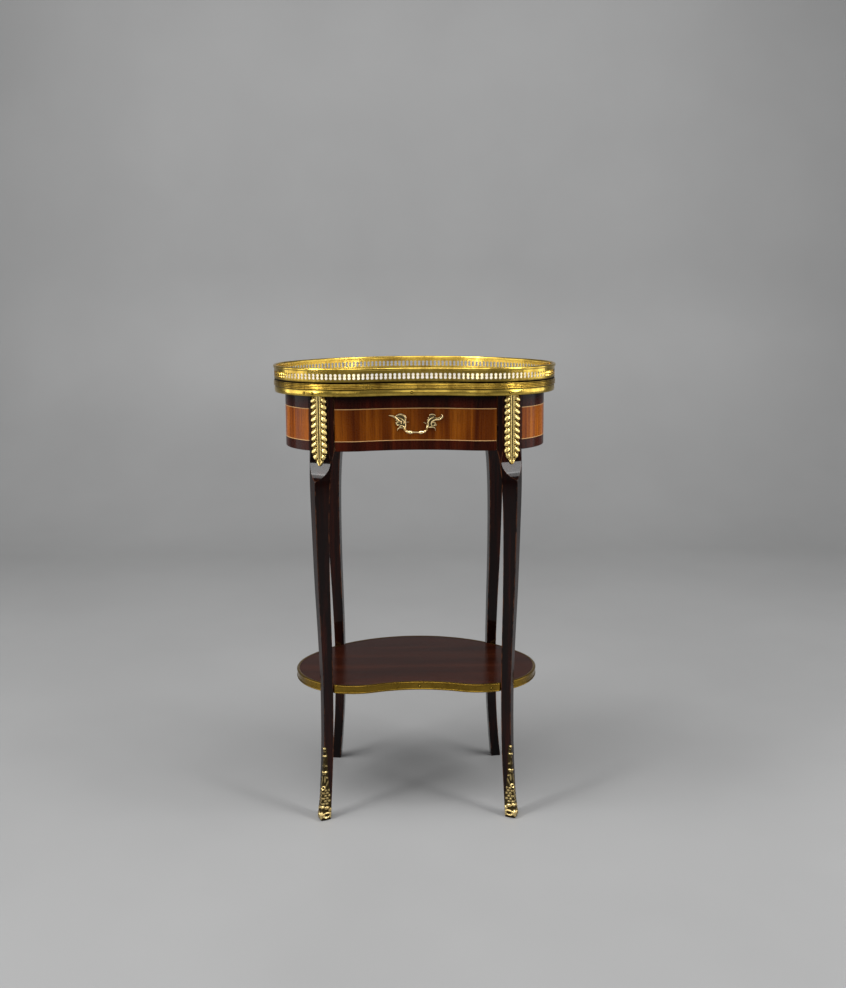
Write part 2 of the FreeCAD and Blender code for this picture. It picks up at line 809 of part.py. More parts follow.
def make_blocks():
    """Glue blocks in the angle of case and board."""
    section, half = size("block_section"), size("block_length") / 2
    end_radius = TOP.end_radius - APRON_IN
    back_radius = TOP.back_radius - APRON_IN
    end_turn, back_turn = size("end_block_angle"), size("back_block_angle")
    spots = (
        ("left_front", -TOP.end_x, TOP.end_y, end_radius, 2 * SQUARE + end_turn),
        ("left_back", -TOP.end_x, TOP.end_y, end_radius, 2 * SQUARE - end_turn),
        ("right_front", TOP.end_x, TOP.end_y, end_radius, -end_turn),
        ("right_back", TOP.end_x, TOP.end_y, end_radius, end_turn),
        ("back_left", 0, TOP.back_y, back_radius, SQUARE + back_turn),
        ("back_right", 0, TOP.back_y, back_radius, SQUARE - back_turn),
    )
    low = CASE_TOP - section
    blocks = []
    for name, x, y, radius, degrees in spots:
        touch = root(radius * radius - half * half)
        corners = [(touch - section, -half), (touch, -half), (touch, half), (touch - section, half)]
        blocks.append(place(prism(f"block_{name}", corners, low, section), x, y, low, degrees))
    keep("glue_blocks", group("glue_blocks", blocks))


# Lower shelf

def make_shelf():
    height = size("shelf_thickness")
    low = size("shelf_top") - height
    thickness = size("edging_thickness")
    notches = group("notches", [make_notch(post) for post in POSTS.values()])
    board = slab("shelf_blank", SHELF, thickness + GAP, low, height)
    keep("shelf_board", cut("shelf_board", board, notches))
    bevel, depth = size("edging_bevel"), size("edging_bevel_depth")
    corners = [
        (thickness, 0), (depth, 0), (0, bevel), (0, height - bevel), (depth, height), (thickness, height),
    ]
    edging = cut("edging_notched", moulding("edging_blank", SHELF, corners, low), notches)
    for label, first, second in (
        ("front_edging", "front_left", "front_right"),
        ("right_edging", "front_right", "back_right"),
        ("back_edging", "back_right", "back_left"),
        ("left_edging", "back_left", "front_left"),
    ):
        sector = wedge(f"{label}_sector", first, second, low - OVER, height + 2 * OVER)
        keep(label, common(label, edging, sector))


# Drawer

def make_drawer():
    gap = size("drawer_gap")
    bottom, height = CASE_BOTTOM + gap / 2, size("case_height") - gap
    back_y = TOP.back - APRON_IN - size("drawer_back_clear")
    wall, half = size("drawer_wall"), DRAWER_HALF
    floor = DRAWER_FLOOR
    top = floor + size("drawer_wall_height")
    fronts = ring("front_blank", TOP, APRON_OUT, APRON_IN, bottom, height)
    ahead = -size("top_depth")
    opening = block("front_opening", (-DRAWER_EDGE, ahead, bottom - OVER), (DRAWER_EDGE, 0, CASE_TOP))
    rebate_from = APRON_OUT + size("rebate_depth")
    rebate_height = size("rail_height") + OVER + gap
    rebate = ring("front_rebate", TOP, rebate_from, APRON_IN + OVER, bottom - OVER, rebate_height)
    keep("drawer_front", cut("drawer_front", common("front_curved", fronts, opening), rebate))
    inside = slab("drawer_room", TOP, APRON_IN + GLUE, bottom, height)
    groove_low = floor + size("bottom_rise")
    groove_high = groove_low + size("bottom_thickness")
    groove_x = half - wall + size("groove_depth")
    for label, side in (("drawer_left_side", -1), ("drawer_right_side", 1)):
        corners = [
            (half * side, floor), (half * side, top), ((half - wall) * side, top),
            ((half - wall) * side, groove_high), (groove_x * side, groove_high),
            (groove_x * side, groove_low), ((half - wall) * side, groove_low), ((half - wall) * side, floor),
        ]
        body = new_body(f"{label}_bar")
        drawing = Drawing(body, f"{label}_section", "XZ_Plane", lift=-back_y).path(corners)
        pad(body, drawing, size("top_depth"))
        keep(label, common(label, body, inside))
    inner = half - wall - GLUE
    keep("drawer_back", block("drawer_back", (-inner, back_y - wall, floor), (inner, back_y, top)))
    panel_edge = groove_x - GLUE
    low_corner = (-panel_edge, ahead, groove_low + GLUE)
    high_corner = (panel_edge, back_y - wall - GLUE, groove_high - GLUE)
    panel = block("bottom_blank", low_corner, high_corner)
    keep("drawer_bottom", common("drawer_bottom", panel, inside))
    make_pull(ring("pull_seat", TOP, APRON_OUT - GLUE, APRON_IN, bottom, height))


def pull_face():
    """How far in front of the middle of the table the hollow of the drawer front lies."""
    return -(TOP.front + APRON_OUT)


# Leafy end of the pull, in shares of its spread and of its rise: tip, crest, inner edge, thorn and lobe
PULL_LEAF = (
    (1.0, 0.84), (0.77, 0.89), (0.58, 1.0), (0.4, 0.84), (0.35, 0.49),
    (0.37, 0.1), (0.35, -0.78), (0.44, -0.84), (0.59, -0.5), (0.7, -0.95),
    (0.68, -0.56), (0.74, -0.28), (0.7, -0.06), (0.75, 0.33), (0.85, 0.55),
)


def make_pull(seat):
    """A pull cast in one piece: two leafy plates joined by a bar that stands clear of the front."""
    body = new_body("pull_casting")
    height, spread, rise = CASE_BOTTOM + size("pull_height"), size("pull_spread"), size("pull_rise")
    face = pull_face()
    plate, root_depth = size("pull_plate"), size("pull_root")
    for side, name in ((-1, "left"), (1, "right")):
        outline = [(spread * (x * side), height + rise * z) for x, z in PULL_LEAF]
        drawing = Drawing(body, f"pull_{name}_leaf", "XZ_Plane", lift=face - plate)
        pad(body, drawing.path(outline), plate * 2 + root_depth)
    span, reach, bend = size("bar_span") / 2, size("bar_reach"), size("bar_bend")
    low = height - rise
    front, back = -face - reach, -face + root_depth
    route = [
        (-span, back), (-span, front + bend), (-span + bend, front),
        (span - bend, front), (span, front + bend), (span, back),
    ]
    spine = Drawing(body, "pull_bar_route", lift=low).path(route, closed=False)
    edge = size("bar_radius")
    flat = edge * math.tan(math.pi / 8)
    octagon = [
        (edge, flat), (flat, edge), (-flat, edge), (-edge, flat),
        (-edge, -flat), (-flat, -edge), (flat, -edge), (edge, -flat),
    ]
    section = [(x - span, z + low) for x, z in octagon]
    profile = Drawing(body, "pull_bar_section", "XZ_Plane", lift=-back).path(section)
    sweep = body.newObject("PartDesign::AdditivePipe", "pull_bar")
    sweep.Profile = profile.sketch
    sweep.Spine = (spine.sketch, [f"Edge{number}" for number in range(1, len(route))])
    sweep.Transition = "Right corner"
    keep("drawer_pull", cut("drawer_pull", body, seat))


make_legs()
make_top()
make_case()
make_shelf()
make_drawer()
doc.recompute()

for item in doc.Objects:
    if "Invalid" in item.State or "Error" in item.State:
        raise RuntimeError(f"{item.Label} did not build: {item.State}")
os.makedirs("parts", exist_ok=True)
for label, item in nodes.items():
    if item.Shape.isNull() or not item.Shape.isValid() or not item.Shape.Solids:
        raise RuntimeError(f"{label} has no valid shape")
    item.Shape.exportStep(f"parts/{label}.step")
    print(f"{label}: {len(item.Shape.Solids)} solids, {item.Shape.Volume:.0f} mm3")
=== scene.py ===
"""Scene of a kidney-shaped gueridon with a pierced brass gallery, a drawer and a lower shelf.

Sizes are in millimetres until a mesh is made, apart from the materials and the studio, which are in metres.
The frame of the solids is kept: Z up, the drawer towards -Y.
"""
import logging
import math
from dataclasses import dataclass, field
from enum import Enum
from typing import Callable, NamedTuple, Sequence

import bmesh
import bpy
from mathutils import Matrix, Vector


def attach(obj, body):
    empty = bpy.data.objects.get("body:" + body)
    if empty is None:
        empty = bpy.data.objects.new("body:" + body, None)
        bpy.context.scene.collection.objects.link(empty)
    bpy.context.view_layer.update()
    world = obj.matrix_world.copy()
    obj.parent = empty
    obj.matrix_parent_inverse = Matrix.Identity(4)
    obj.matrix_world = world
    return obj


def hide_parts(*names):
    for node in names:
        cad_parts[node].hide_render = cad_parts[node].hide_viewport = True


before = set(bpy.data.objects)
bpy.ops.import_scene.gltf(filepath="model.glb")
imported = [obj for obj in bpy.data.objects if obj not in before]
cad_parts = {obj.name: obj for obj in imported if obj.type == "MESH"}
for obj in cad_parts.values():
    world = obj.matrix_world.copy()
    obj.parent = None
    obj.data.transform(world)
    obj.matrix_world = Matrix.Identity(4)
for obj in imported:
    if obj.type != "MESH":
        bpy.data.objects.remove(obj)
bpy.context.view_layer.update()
MM = 0.001
log = logging.getLogger("gueridon")

Point = tuple[float, float]
Profile = Sequence[Point]
Grid = Sequence[Sequence[Vector]]
Place = tuple[float, float, float]
Colour = tuple[float, float, float]
Socket = bpy.types.NodeSocket


class Body(Enum):
    """The rigid bodies that pieces ride on."""

    TABLE = "table"
    DRAWER = "drawer"


class Slot(Enum):
    """The finishes that the record names."""

    BRASS = "brass"
    GILT = "gilt"
    MARBLE = "marble"
    VENEER = "veneer"
    MAHOGANY = "mahogany"
    CARCASE = "carcase_wood"


# Outlines and plain mesh building

class Station(NamedTuple):
    """A place on an outline: where it is, which way is outward, and how far round it lies."""

    point: Vector
    outward: Vector
    travelled: float


class Run(NamedTuple):
    """One arc of an outline."""

    centre: Vector
    radius: float
    begin: float
    finish: float
    outward: int

    @property
    def length(self) -> float:
        """Length of the arc."""
        return self.radius * abs(self.finish - self.begin)


@dataclass(frozen=True)
class Kidney:
    """Plan of a kidney: two round ends, a bowed back and a hollow front, all tangent."""

    width: float
    depth: float
    end_radius: float
    hollow: float
    shift: float = 0.0

    def inset(self, distance: float) -> "Kidney":
        """The parallel outline that lies inside this one.

        Args:
            distance: how far inside it lies.

        Returns:
            The smaller outline.
        """
        width, depth = self.width - 2 * distance, self.depth - 2 * distance
        return Kidney(width, depth, self.end_radius - distance, self.hollow, self.shift)

    def runs(self) -> list[Run]:
        """The arcs in order, from the middle of the back round by the left end.

        Returns:
            Five arcs, the back being in two halves.
        """
        end_x = self.width / 2 - self.end_radius
        end_y = self.shift - self.depth / 2 + self.end_radius
        spread = self.depth - 2 * self.end_radius
        back_radius = self.depth - self.end_radius - (spread**2 - end_x**2) / (2 * spread)
        back_y = self.shift + self.depth / 2 - back_radius
        drop = self.end_radius - self.hollow
        front_radius = (end_x**2 + drop**2 - self.end_radius**2) / (2 * self.hollow)
        front_y = self.shift - self.depth / 2 + self.hollow - front_radius
        flank = math.atan2(end_y - back_y, end_x)
        lobe = math.atan2(end_y - front_y, end_x)
        back = Vector((0.0, back_y))
        return [
            Run(back, back_radius, math.pi / 2, math.pi - flank, 1),
            Run(Vector((-end_x, end_y)), self.end_radius, math.pi - flank, 2 * math.pi - lobe, 1),
            Run(Vector((0.0, front_y)), front_radius, math.pi - lobe, lobe, -1),
            Run(Vector((end_x, end_y)), self.end_radius, lobe - math.pi, flank, 1),
            Run(back, back_radius, flank, math.pi / 2, 1),
        ]

    @property
    def length(self) -> float:
        """Length once round."""
        return sum(run.length for run in self.runs())

    def station(self, travelled: float) -> Station:
        """The place at a distance round from the middle of the back.

        Args:
            travelled: the distance, which may be negative or more than once round.

        Returns:
            The place.
        """
        left = travelled % self.length
        for run in self.runs():
            if left <= run.length:
                break
            left -= run.length
        angle = run.begin + (run.finish - run.begin) * left / run.length
        spoke = Vector((math.cos(angle), math.sin(angle)))
        return Station(run.centre + spoke * run.radius, spoke * run.outward, travelled)

    def stretch(self, start: float, finish: float, spacing: float) -> list[Station]:
        """Places at an even spacing between two distances, both ends included.

        Args:
            start: first distance.
            finish: last distance.
            spacing: the spacing to aim at.

        Returns:
            The places in order.
        """
        count = max(2, round((finish - start) / spacing))
        return [self.station(start + (finish - start) * step / count) for step in range(count + 1)]

    def loop(self, spacing: float) -> list[Station]:
        """Places at an even spacing once round.

        Args:
            spacing: the spacing to aim at.

        Returns:
            The places in order, an even number of them.
        """
        count = 2 * round(self.length / spacing / 2)
        return [self.station((step + 0.5) * self.length / count) for step in range(count)]

    def nearest(self, spot: Vector) -> float:
        """The distance round at which the outline passes closest to a spot.

        Args:
            spot: the spot in plan.

        Returns:
            The distance from the middle of the back.
        """
        samples = 4000
        return min(
            (self.length * step / samples for step in range(samples)),
            key=lambda travelled: (self.station(travelled).point - spot).length_squared,
        )


@dataclass
class Shape:
    """Points, faces and two values of each point that materials read.

    `along` is the distance round the table, for the stripes of the veneer. The other value is the share of
    dirt and painted shade in a hollow of the brass, or of rubbing on an edge of the wood.
    """

    points: list[Vector] = field(default_factory=list)
    faces: list[tuple[int, ...]] = field(default_factory=list)
    along: list[float] = field(default_factory=list)
    wear: list[float] = field(default_factory=list)

    def add(self, point: Vector, wear: float = 0.0, along: float = 0.0) -> None:
        """Add a point with its values.

        Args:
            point: the point.
            wear: its dirt and painted shade, or its rubbing.
            along: its distance round the table.
        """
        self.points.append(point)
        self.wear.append(wear)
        self.along.append(along)

    def wrap(self, size: int) -> None:
        """Join all points, which are rings of equal size, into a closed skin with filled ends.

        Args:
            size: number of points in a ring.
        """
        rings = len(self.points) // size
        for ring in range(rings - 1):
            here, there = ring * size, (ring + 1) * size
            for corner in range(size):
                following = (corner + 1) % size
                self.faces.append((here + corner, here + following, there + following, there + corner))
        self.faces.append(tuple(reversed(range(size))))
        self.faces.append(tuple((rings - 1) * size + corner for corner in range(size)))


def bulge(start: Point, finish: Point, rise: float, steps: int = 8) -> list[Point]:
    """Points of an arc from one point to another, bulging to the left of the way by the rise.

    Args:
        start: first point, included.
        finish: last point, left out.
        rise: height of the arc over its chord.
        steps: number of points.

    Returns:
        The points.
    """
    begin, end = Vector(start), Vector(finish)
    chord = end - begin
    half = chord.length / 2
    radius = (half**2 + rise**2) / (2 * abs(rise))
    side = Vector((-chord.y, chord.x)).normalized() * math.copysign(1, rise)
    centre = (begin + end) / 2 + side * (abs(rise) - radius)
    opening = 2 * math.atan2(half, radius - abs(rise))
    ahead = chord.normalized()
    points = []
    for step in range(steps):
        angle = opening * (step / steps - 0.5)
        spot = centre + side * (radius * math.cos(angle)) + ahead * (radius * math.sin(angle))
        points.append(tuple(spot))
    return points


def sweep(stations: Sequence[Station], profile: Profile, closed: bool, wear: Sequence[float] = ()) -> Shape:
    """Draw a profile along an outline.

    Args:
        stations: places on the outline.
        profile: corners as distance inside the outline and height.
        closed: whether the last place joins the first.
        wear: dirt and painted shade on each corner of the profile, none if left out.

    Returns:
        The swept shape, with its ends filled if it is open.
    """
    size = len(profile)
    shape = Shape()
    for station in stations:
        for (inset, height), dirt_and_shade in zip(profile, wear or [0.0] * size):
            spot = station.point - station.outward * inset
            shape.add(Vector((spot.x, spot.y, height)), dirt_and_shade, station.travelled)
    last = len(stations) if closed else len(stations) - 1
    for ring in range(last):
        here, there = ring * size, (ring + 1) % len(stations) * size
        for corner in range(size):
            following = (corner + 1) % size
            shape.faces.append((here + corner, there + corner, there + following, here + following))
    if not closed:
        shape.faces.append(tuple(range(size)))
        shape.faces.append(tuple(last * size + corner for corner in reversed(range(size))))
    return shape


def shell(front: Grid, back: Grid, wear: Sequence[Sequence[float]]) -> Shape:
    """Close two grids of points, one before the other, into a solid plate.

    Args:
        front: rows of points of the face that shows.
        back: rows of points behind them.
        wear: for each point of the front how much dirt and painted shade lies there, from 0 to 1.

    Returns:
        The closed shape.
    """
    rows, columns = len(front), len(front[0])
    shape = Shape()
    for grid in (front, back):
        for row in range(rows):
            for column in range(columns):
                shape.add(grid[row][column], wear[row][column])
    behind = rows * columns
    for row in range(rows - 1):
        for column in range(columns - 1):
            corners = [row * columns + column, row * columns + column + 1]
            corners += [corners[1] + columns, corners[0] + columns]
            shape.faces.append(tuple(corners))
            shape.faces.append(tuple(behind + corner for corner in reversed(corners)))
    rim = list(range(columns))
    rim += [row * columns + columns - 1 for row in range(1, rows)]
    rim += [(rows - 1) * columns + column for column in reversed(range(columns - 1))]
    rim += [row * columns for row in reversed(range(1, rows - 1))]
    for one, other in zip(rim, rim[1:] + rim[:1]):
        shape.faces.append((one, other, behind + other, behind + one))
    return shape


def joined(shapes: Sequence[Shape]) -> Shape:
    """Put several shapes into one.

    Args:
        shapes: the shapes.

    Returns:
        One shape that holds them all.
    """
    whole = Shape()
    for shape in shapes:
        first = len(whole.points)
        whole.points += shape.points
        whole.along += shape.along
        whole.wear += shape.wear
        whole.faces += [tuple(first + corner for corner in face) for face in shape.faces]
    return whole


def make_mesh(name: str, shape: Shape, sharp: float = 35.0) -> bpy.types.Mesh:
    """Turn a shape into a mesh in metres with smooth shading and crisp edges.

    Args:
        name: the mesh's name.
        shape: points and faces in millimetres.
        sharp: angle in degrees above which an edge stays crisp.

    Returns:
        The mesh.
    """
    mesh = bpy.data.meshes.new(name)
    mesh.from_pydata([point * MM for point in shape.points], [], shape.faces)
    for label, values in (("along", [value * MM for value in shape.along]), ("wear", shape.wear)):
        mesh.attributes.new(label, "FLOAT", "POINT").data.foreach_set("value", values)
    work = bmesh.new()
    work.from_mesh(mesh)
    bmesh.ops.recalc_face_normals(work, faces=work.faces)
    work.to_mesh(mesh)
    work.free()
    mesh.shade_smooth()
    mesh.set_sharp_from_angle(angle=math.radians(sharp))
    return mesh


def settle(piece: bpy.types.Object, body: Body, nodes: Sequence[str] = ()) -> bpy.types.Object:
    """Let a finished piece ride on its body and stand for its solids.

    Args:
        piece: the finished object.
        body: what it moves with.
        nodes: the solids that it replaces.

    Returns:
        The same object.
    """
    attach(piece, body.value)
    if nodes:
        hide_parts(*nodes)
    log.info("%s: %d faces, rides on %s", piece.name, len(piece.data.polygons), body.value)
    return piece


def make_piece(
    name: str,
    shape: Shape,
    finish: bpy.types.Material,
    body: Body,
    nodes: Sequence[str] = (),
    sharp: float = 35.0,
) -> bpy.types.Object:
    """Make a finished piece from a shape.

    Args:
        name: the piece's name.
        shape: points and faces.
        finish: its material.
        body: what it moves with.
        nodes: the solids that it replaces.
        sharp: angle above which an edge stays crisp.

    Returns:
        The new object.
    """
    mesh = make_mesh(name, shape, sharp)
    mesh.materials.append(finish)
    piece = bpy.data.objects.new(name, mesh)
    bpy.context.scene.collection.objects.link(piece)
    return settle(piece, body, nodes)


# Repeats by geometry nodes

def scatter_tree() -> bpy.types.NodeTree:
    """The node tree that sets one pattern on every point, turned by the point's own angles.

    Returns:
        The tree, with the inputs Pattern and Finish.
    """
    tree = bpy.data.node_groups.new("set_on_points", "GeometryNodeTree")
    for label, kind in (
        ("Geometry", "NodeSocketGeometry"), ("Pattern", "NodeSocketObject"), ("Finish", "NodeSocketMaterial"),
    ):
        tree.interface.new_socket(label, in_out="INPUT", socket_type=kind)
    tree.interface.new_socket("Geometry", in_out="OUTPUT", socket_type="NodeSocketGeometry")
    start = tree.nodes.new("NodeGroupInput")
    finish = tree.nodes.new("NodeGroupOutput")
    pattern = tree.nodes.new("GeometryNodeObjectInfo")
    pattern.inputs["As Instance"].default_value = True
    turn = tree.nodes.new("GeometryNodeInputNamedAttribute")
    turn.data_type = "FLOAT_VECTOR"
    turn.inputs["Name"].default_value = "turn"
    euler = tree.nodes.new("FunctionNodeEulerToRotation")
    place = tree.nodes.new("GeometryNodeInstanceOnPoints")
    real = tree.nodes.new("GeometryNodeRealizeInstances")
    paint = tree.nodes.new("GeometryNodeSetMaterial")
    for source, target in (
        (start.outputs["Geometry"], place.inputs["Points"]),
        (start.outputs["Pattern"], pattern.inputs["Object"]),
        (pattern.outputs["Geometry"], place.inputs["Instance"]),
        (turn.outputs["Attribute"], euler.inputs["Euler"]),
        (euler.outputs["Rotation"], place.inputs["Rotation"]),
        (place.outputs["Instances"], real.inputs["Geometry"]),
        (real.outputs["Geometry"], paint.inputs["Geometry"]),
        (start.outputs["Finish"], paint.inputs["Material"]),
        (paint.outputs["Geometry"], finish.inputs["Geometry"]),
    ):
        tree.links.new(source, target)
    return tree


@dataclass
class Scatter:
    """Sets copies of one small pattern on many points."""

    tree: bpy.types.NodeTree

    def lay(
        self,
        name: str,
        pattern: Shape,
        stations: Sequence[Station],
        height: float,
        finish: bpy.types.Material,
    ) -> bpy.types.Object:
        """Make one plain mesh of all copies, each with its face outward.

        Args:
            name: name of the piece.
            pattern: the shape to repeat, round its own origin and with its face towards -Y.
            stations: places of the copies on an outline.
            height: height of the copies.
            finish: material of the copies.

        Returns:
            The object, with no modifier left on it.
        """
        model = bpy.data.objects.new(f"{name}_pattern", make_mesh(f"{name}_pattern", pattern))
        points = bpy.data.meshes.new(f"{name}_points")
        spots = [Vector((station.point.x, station.point.y, height)) for station in stations]
        points.from_pydata([spot * MM for spot in spots], [], [])
        values: list[float] = []
        for station in stations:
            bearing = math.atan2(station.outward.y, station.outward.x)
            values += [0.0, 0.0, bearing + math.pi / 2]
        points.attributes.new("turn", "FLOAT_VECTOR", "POINT").data.foreach_set("vector", values)
        piece = bpy.data.objects.new(name, points)
        for item in (model, piece):
            bpy.context.scene.collection.objects.link(item)
        step = piece.modifiers.new("set_on_points", "NODES")
        step.node_group = self.tree
        items = self.tree.interface.items_tree
        sockets = {item.name: item.identifier for item in items if item.in_out == "INPUT"}
        step[sockets["Pattern"]] = model
        step[sockets["Finish"]] = finish
        view = bpy.context.evaluated_depsgraph_get()
        mesh = bpy.data.meshes.new_from_object(piece.evaluated_get(view), depsgraph=view)
        piece.modifiers.clear()
        piece.data = mesh
        mesh.name = name
        bpy.data.objects.remove(model)
        return piece


# Plans and heights shared by the pieces

TOP = Kidney(width=445.0, depth=300.0, end_radius=118.0, hollow=15.0)
SHELF = Kidney(width=392.0, depth=250.0, end_radius=98.0, hollow=16.0, shift=-4.0)
CASE_BOTTOM = 583.0
CASE_TOP = 668.0
BOARD_TOP = 677.0
MOULDING_TOP = 689.0
RIM_FOOT = 706.7
RIM_TOP = 710.0
APRON_OUT = 18.0
APRON_IN = 34.0
LEG_BLOCK = 30.0
HALF_BLOCK = LEG_BLOCK / math.sqrt(2)
FACET = HALF_BLOCK - 14.5
FIELD_LOW = CASE_BOTTOM + 16.0
FIELD_HIGH = CASE_TOP - 21.0
STRING_LOW = FIELD_LOW - 0.4
STRING_HIGH = FIELD_HIGH + 0.1
STRING_HALF = 0.5
# Heights of the painted shadow that the plain band casts on the veneer
SHADOW_FOOT = CASE_TOP - 14.0
SHADOW_HEAD = CASE_TOP - 4.0


# Materials

class Recipe:
    """A node tree under construction, with short ways to add and join nodes."""

    def __init__(self, tree: bpy.types.NodeTree) -> None:
        """Start on a tree.

        Args:
            tree: the tree to fill.
        """
        self.tree = tree

    def add(self, kind: str, settings: dict | None = None, **inputs: object) -> bpy.types.Node:
        """Add a node, set its options and feed its inputs.

        Args:
            kind: the node's type.
            settings: properties of the node.
            inputs: values or sockets by input name, with _ for a space.

        Returns:
            The node.
        """
        node = self.tree.nodes.new(kind)
        for label, value in (settings or {}).items():
            setattr(node, label, value)
        for label, value in inputs.items():
            self.feed(node.inputs[label.replace("_", " ")], value)
        return node

    def feed(self, socket: Socket, value: object) -> None:
        """Link a socket to another or set its value.

        Args:
            socket: the input.
            value: an output socket, a number or a colour.
        """
        if isinstance(value, Socket):
            self.tree.links.new(value, socket)
        elif isinstance(value, tuple) and socket.type == "RGBA" and len(value) == 3:
            socket.default_value = (*value, 1.0)
        else:
            socket.default_value = value

    def math(self, operation: str, first: object, second: object = 0.0, clamp: bool = False) -> Socket:
        """Add a sum of two numbers.

        Args:
            operation: which sum.
            first: first number or socket.
            second: second number or socket.
            clamp: whether to keep the result between 0 and 1.

        Returns:
            The result.
        """
        node = self.add("ShaderNodeMath", {"operation": operation, "use_clamp": clamp})
        self.feed(node.inputs[0], first)
        self.feed(node.inputs[1], second)
        return node.outputs[0]

    def scaled(self, vector: object, scale: Place) -> Socket:
        """Stretch a vector.

        Args:
            vector: the vector.
            scale: factors along the three axes.

        Returns:
            The stretched vector.
        """
        node = self.add("ShaderNodeVectorMath", {"operation": "MULTIPLY"})
        self.feed(node.inputs[0], vector)
        self.feed(node.inputs[1], scale)
        return node.outputs[0]

    def noise(
        self, vector: object, scale: float, detail: float = 4.0, rough: float = 0.55, warp: float = 0.0
    ) -> Socket:
        """Add a noise value.

        Args:
            vector: where it is read.
            scale: its scale per metre.
            detail: number of octaves.
            rough: strength of the finer octaves.
            warp: distortion.

        Returns:
            The value, about 0.5 on average.
        """
        node = self.add("ShaderNodeTexNoise", None, Vector=vector, Scale=scale, Detail=detail)
        node.inputs["Roughness"].default_value = rough
        node.inputs["Distortion"].default_value = warp
        return node.outputs[0]

    def ramp(self, value: object, stops: Sequence[tuple[float, Colour | float]]) -> Socket:
        """Turn a value into a colour by a ramp.

        Args:
            value: the value.
            stops: places and colours, or places and greys.

        Returns:
            The colour.
        """
        node = self.add("ShaderNodeValToRGB")
        self.feed(node.inputs[0], value)
        elements = node.color_ramp.elements
        while len(elements) < len(stops):
            elements.new(0.5)
        for element, (place, colour) in zip(elements, stops):
            element.position = place
            grey = colour if isinstance(colour, tuple) else (colour, colour, colour)
            element.color = (*grey, 1.0)
        return node.outputs[0]

    def mix(self, share: object, first: object, second: object, blend: str = "MIX") -> Socket:
        """Mix two colours.

        Args:
            share: how much of the second.
            first: first colour.
            second: second colour.
            blend: way of mixing.

        Returns:
            The mixed colour.
        """
        node = self.add("ShaderNodeMix", {"data_type": "RGBA", "blend_type": blend})
        self.feed(node.inputs[0], share)
        self.feed(node.inputs[6], first)
        self.feed(node.inputs[7], second)
        return node.outputs[2]

    def between(self, value: object, low: float, high: float, soft: float) -> Socket:
        """A mask that is 1 while a value lies between two limits.

        Args:
            value: the value.
            low: lower limit.
            high: upper limit.
            soft: width over which each edge fades.

        Returns:
            The mask.
        """
        masks = []
        for start, finish in ((low - soft, low + soft), (high + soft, high - soft)):
            node = self.add("ShaderNodeMapRange", None, Value=value, From_Min=start, From_Max=finish)
            masks.append(node.outputs[0])
        return self.math("MULTIPLY", masks[0], masks[1], clamp=True)


def make_group(
    name: str, inputs: dict[str, str], outputs: dict[str, str], fill: Callable[[Recipe, dict], dict]
) -> bpy.types.NodeTree:
    """Make a shared shader group.

    Args:
        name: the group's name.
        inputs: socket types by name.
        outputs: socket types by name.
        fill: adds the nodes, given the inputs, and returns the outputs.

    Returns:
        The group.
    """
    tree = bpy.data.node_groups.new(name, "ShaderNodeTree")
    for label, kind in inputs.items():
        tree.interface.new_socket(label, in_out="INPUT", socket_type=kind)
    for label, kind in outputs.items():
        tree.interface.new_socket(label, in_out="OUTPUT", socket_type=kind)
    recipe = Recipe(tree)
    start = recipe.add("NodeGroupInput")
    finish = recipe.add("NodeGroupOutput")
    for label, socket in fill(recipe, {label: start.outputs[label] for label in inputs}).items():
        recipe.feed(finish.inputs[label], socket)
    return tree


def fill_wood(recipe: Recipe, given: dict) -> dict:
    """Broad figure, dark pores and relief of wood whose grain runs along the third axis.

    Args:
        recipe: the group's nodes.
        given: the group's inputs.

    Returns:
        The group's outputs.
    """
    place = given["Place"]
    drift = recipe.noise(recipe.scaled(place, (38.0, 38.0, 2.5)), 1.0, 2.0)
    stripe = recipe.noise(recipe.scaled(place, (150.0, 150.0, 3.0)), 1.0, 5.0, 0.6, 0.3)
    figure = recipe.math("ADD", recipe.math("MULTIPLY", drift, 0.6), recipe.math("MULTIPLY", stripe, 0.4))
    fine = recipe.noise(recipe.scaled(place, (1400.0, 1400.0, 45.0)), 1.0, 2.0)
    pores = recipe.ramp(fine, [(0.36, 1.0), (0.50, 0.0)])
    relief = recipe.math("SUBTRACT", stripe, recipe.math("MULTIPLY", pores, 0.6))
    return {"Figure": figure, "Pores": pores, "Relief": relief}


def fill_age(recipe: Recipe, given: dict) -> dict:
    """Cloudy tarnish, fine rubbing and small specks.

    Args:
        recipe: the group's nodes.
        given: the group's inputs.

    Returns:
        The group's outputs.
    """
    place = given["Place"]
    cloud = recipe.noise(place, 38.0, 6.0, 0.62, 0.4)
    fine = recipe.noise(place, 420.0, 3.0)
    speck = recipe.ramp(recipe.noise(place, 260.0, 2.0), [(0.64, 0.0), (0.74, 1.0)])
    return {"Tarnish": recipe.ramp(cloud, [(0.40, 0.0), (0.72, 1.0)]), "Rub": fine, "Specks": speck}


@dataclass(frozen=True)
class WoodLook:
    """Colours and polish of a wood."""

    name: str
    dark: Colour
    middle: Colour
    light: Colour
    pore: Colour
    rubbed: Colour
    rough: float
    coat: float
    shine: float
    turned: bool = False


@dataclass(frozen=True)
class MetalLook:
    """Colours and polish of a brass."""

    name: str
    bright: Colour
    dull: Colour
    # colour of real dirt, and of the painted shade in hollows
    dirt_and_shade: Colour
    rough: float
    worn: float


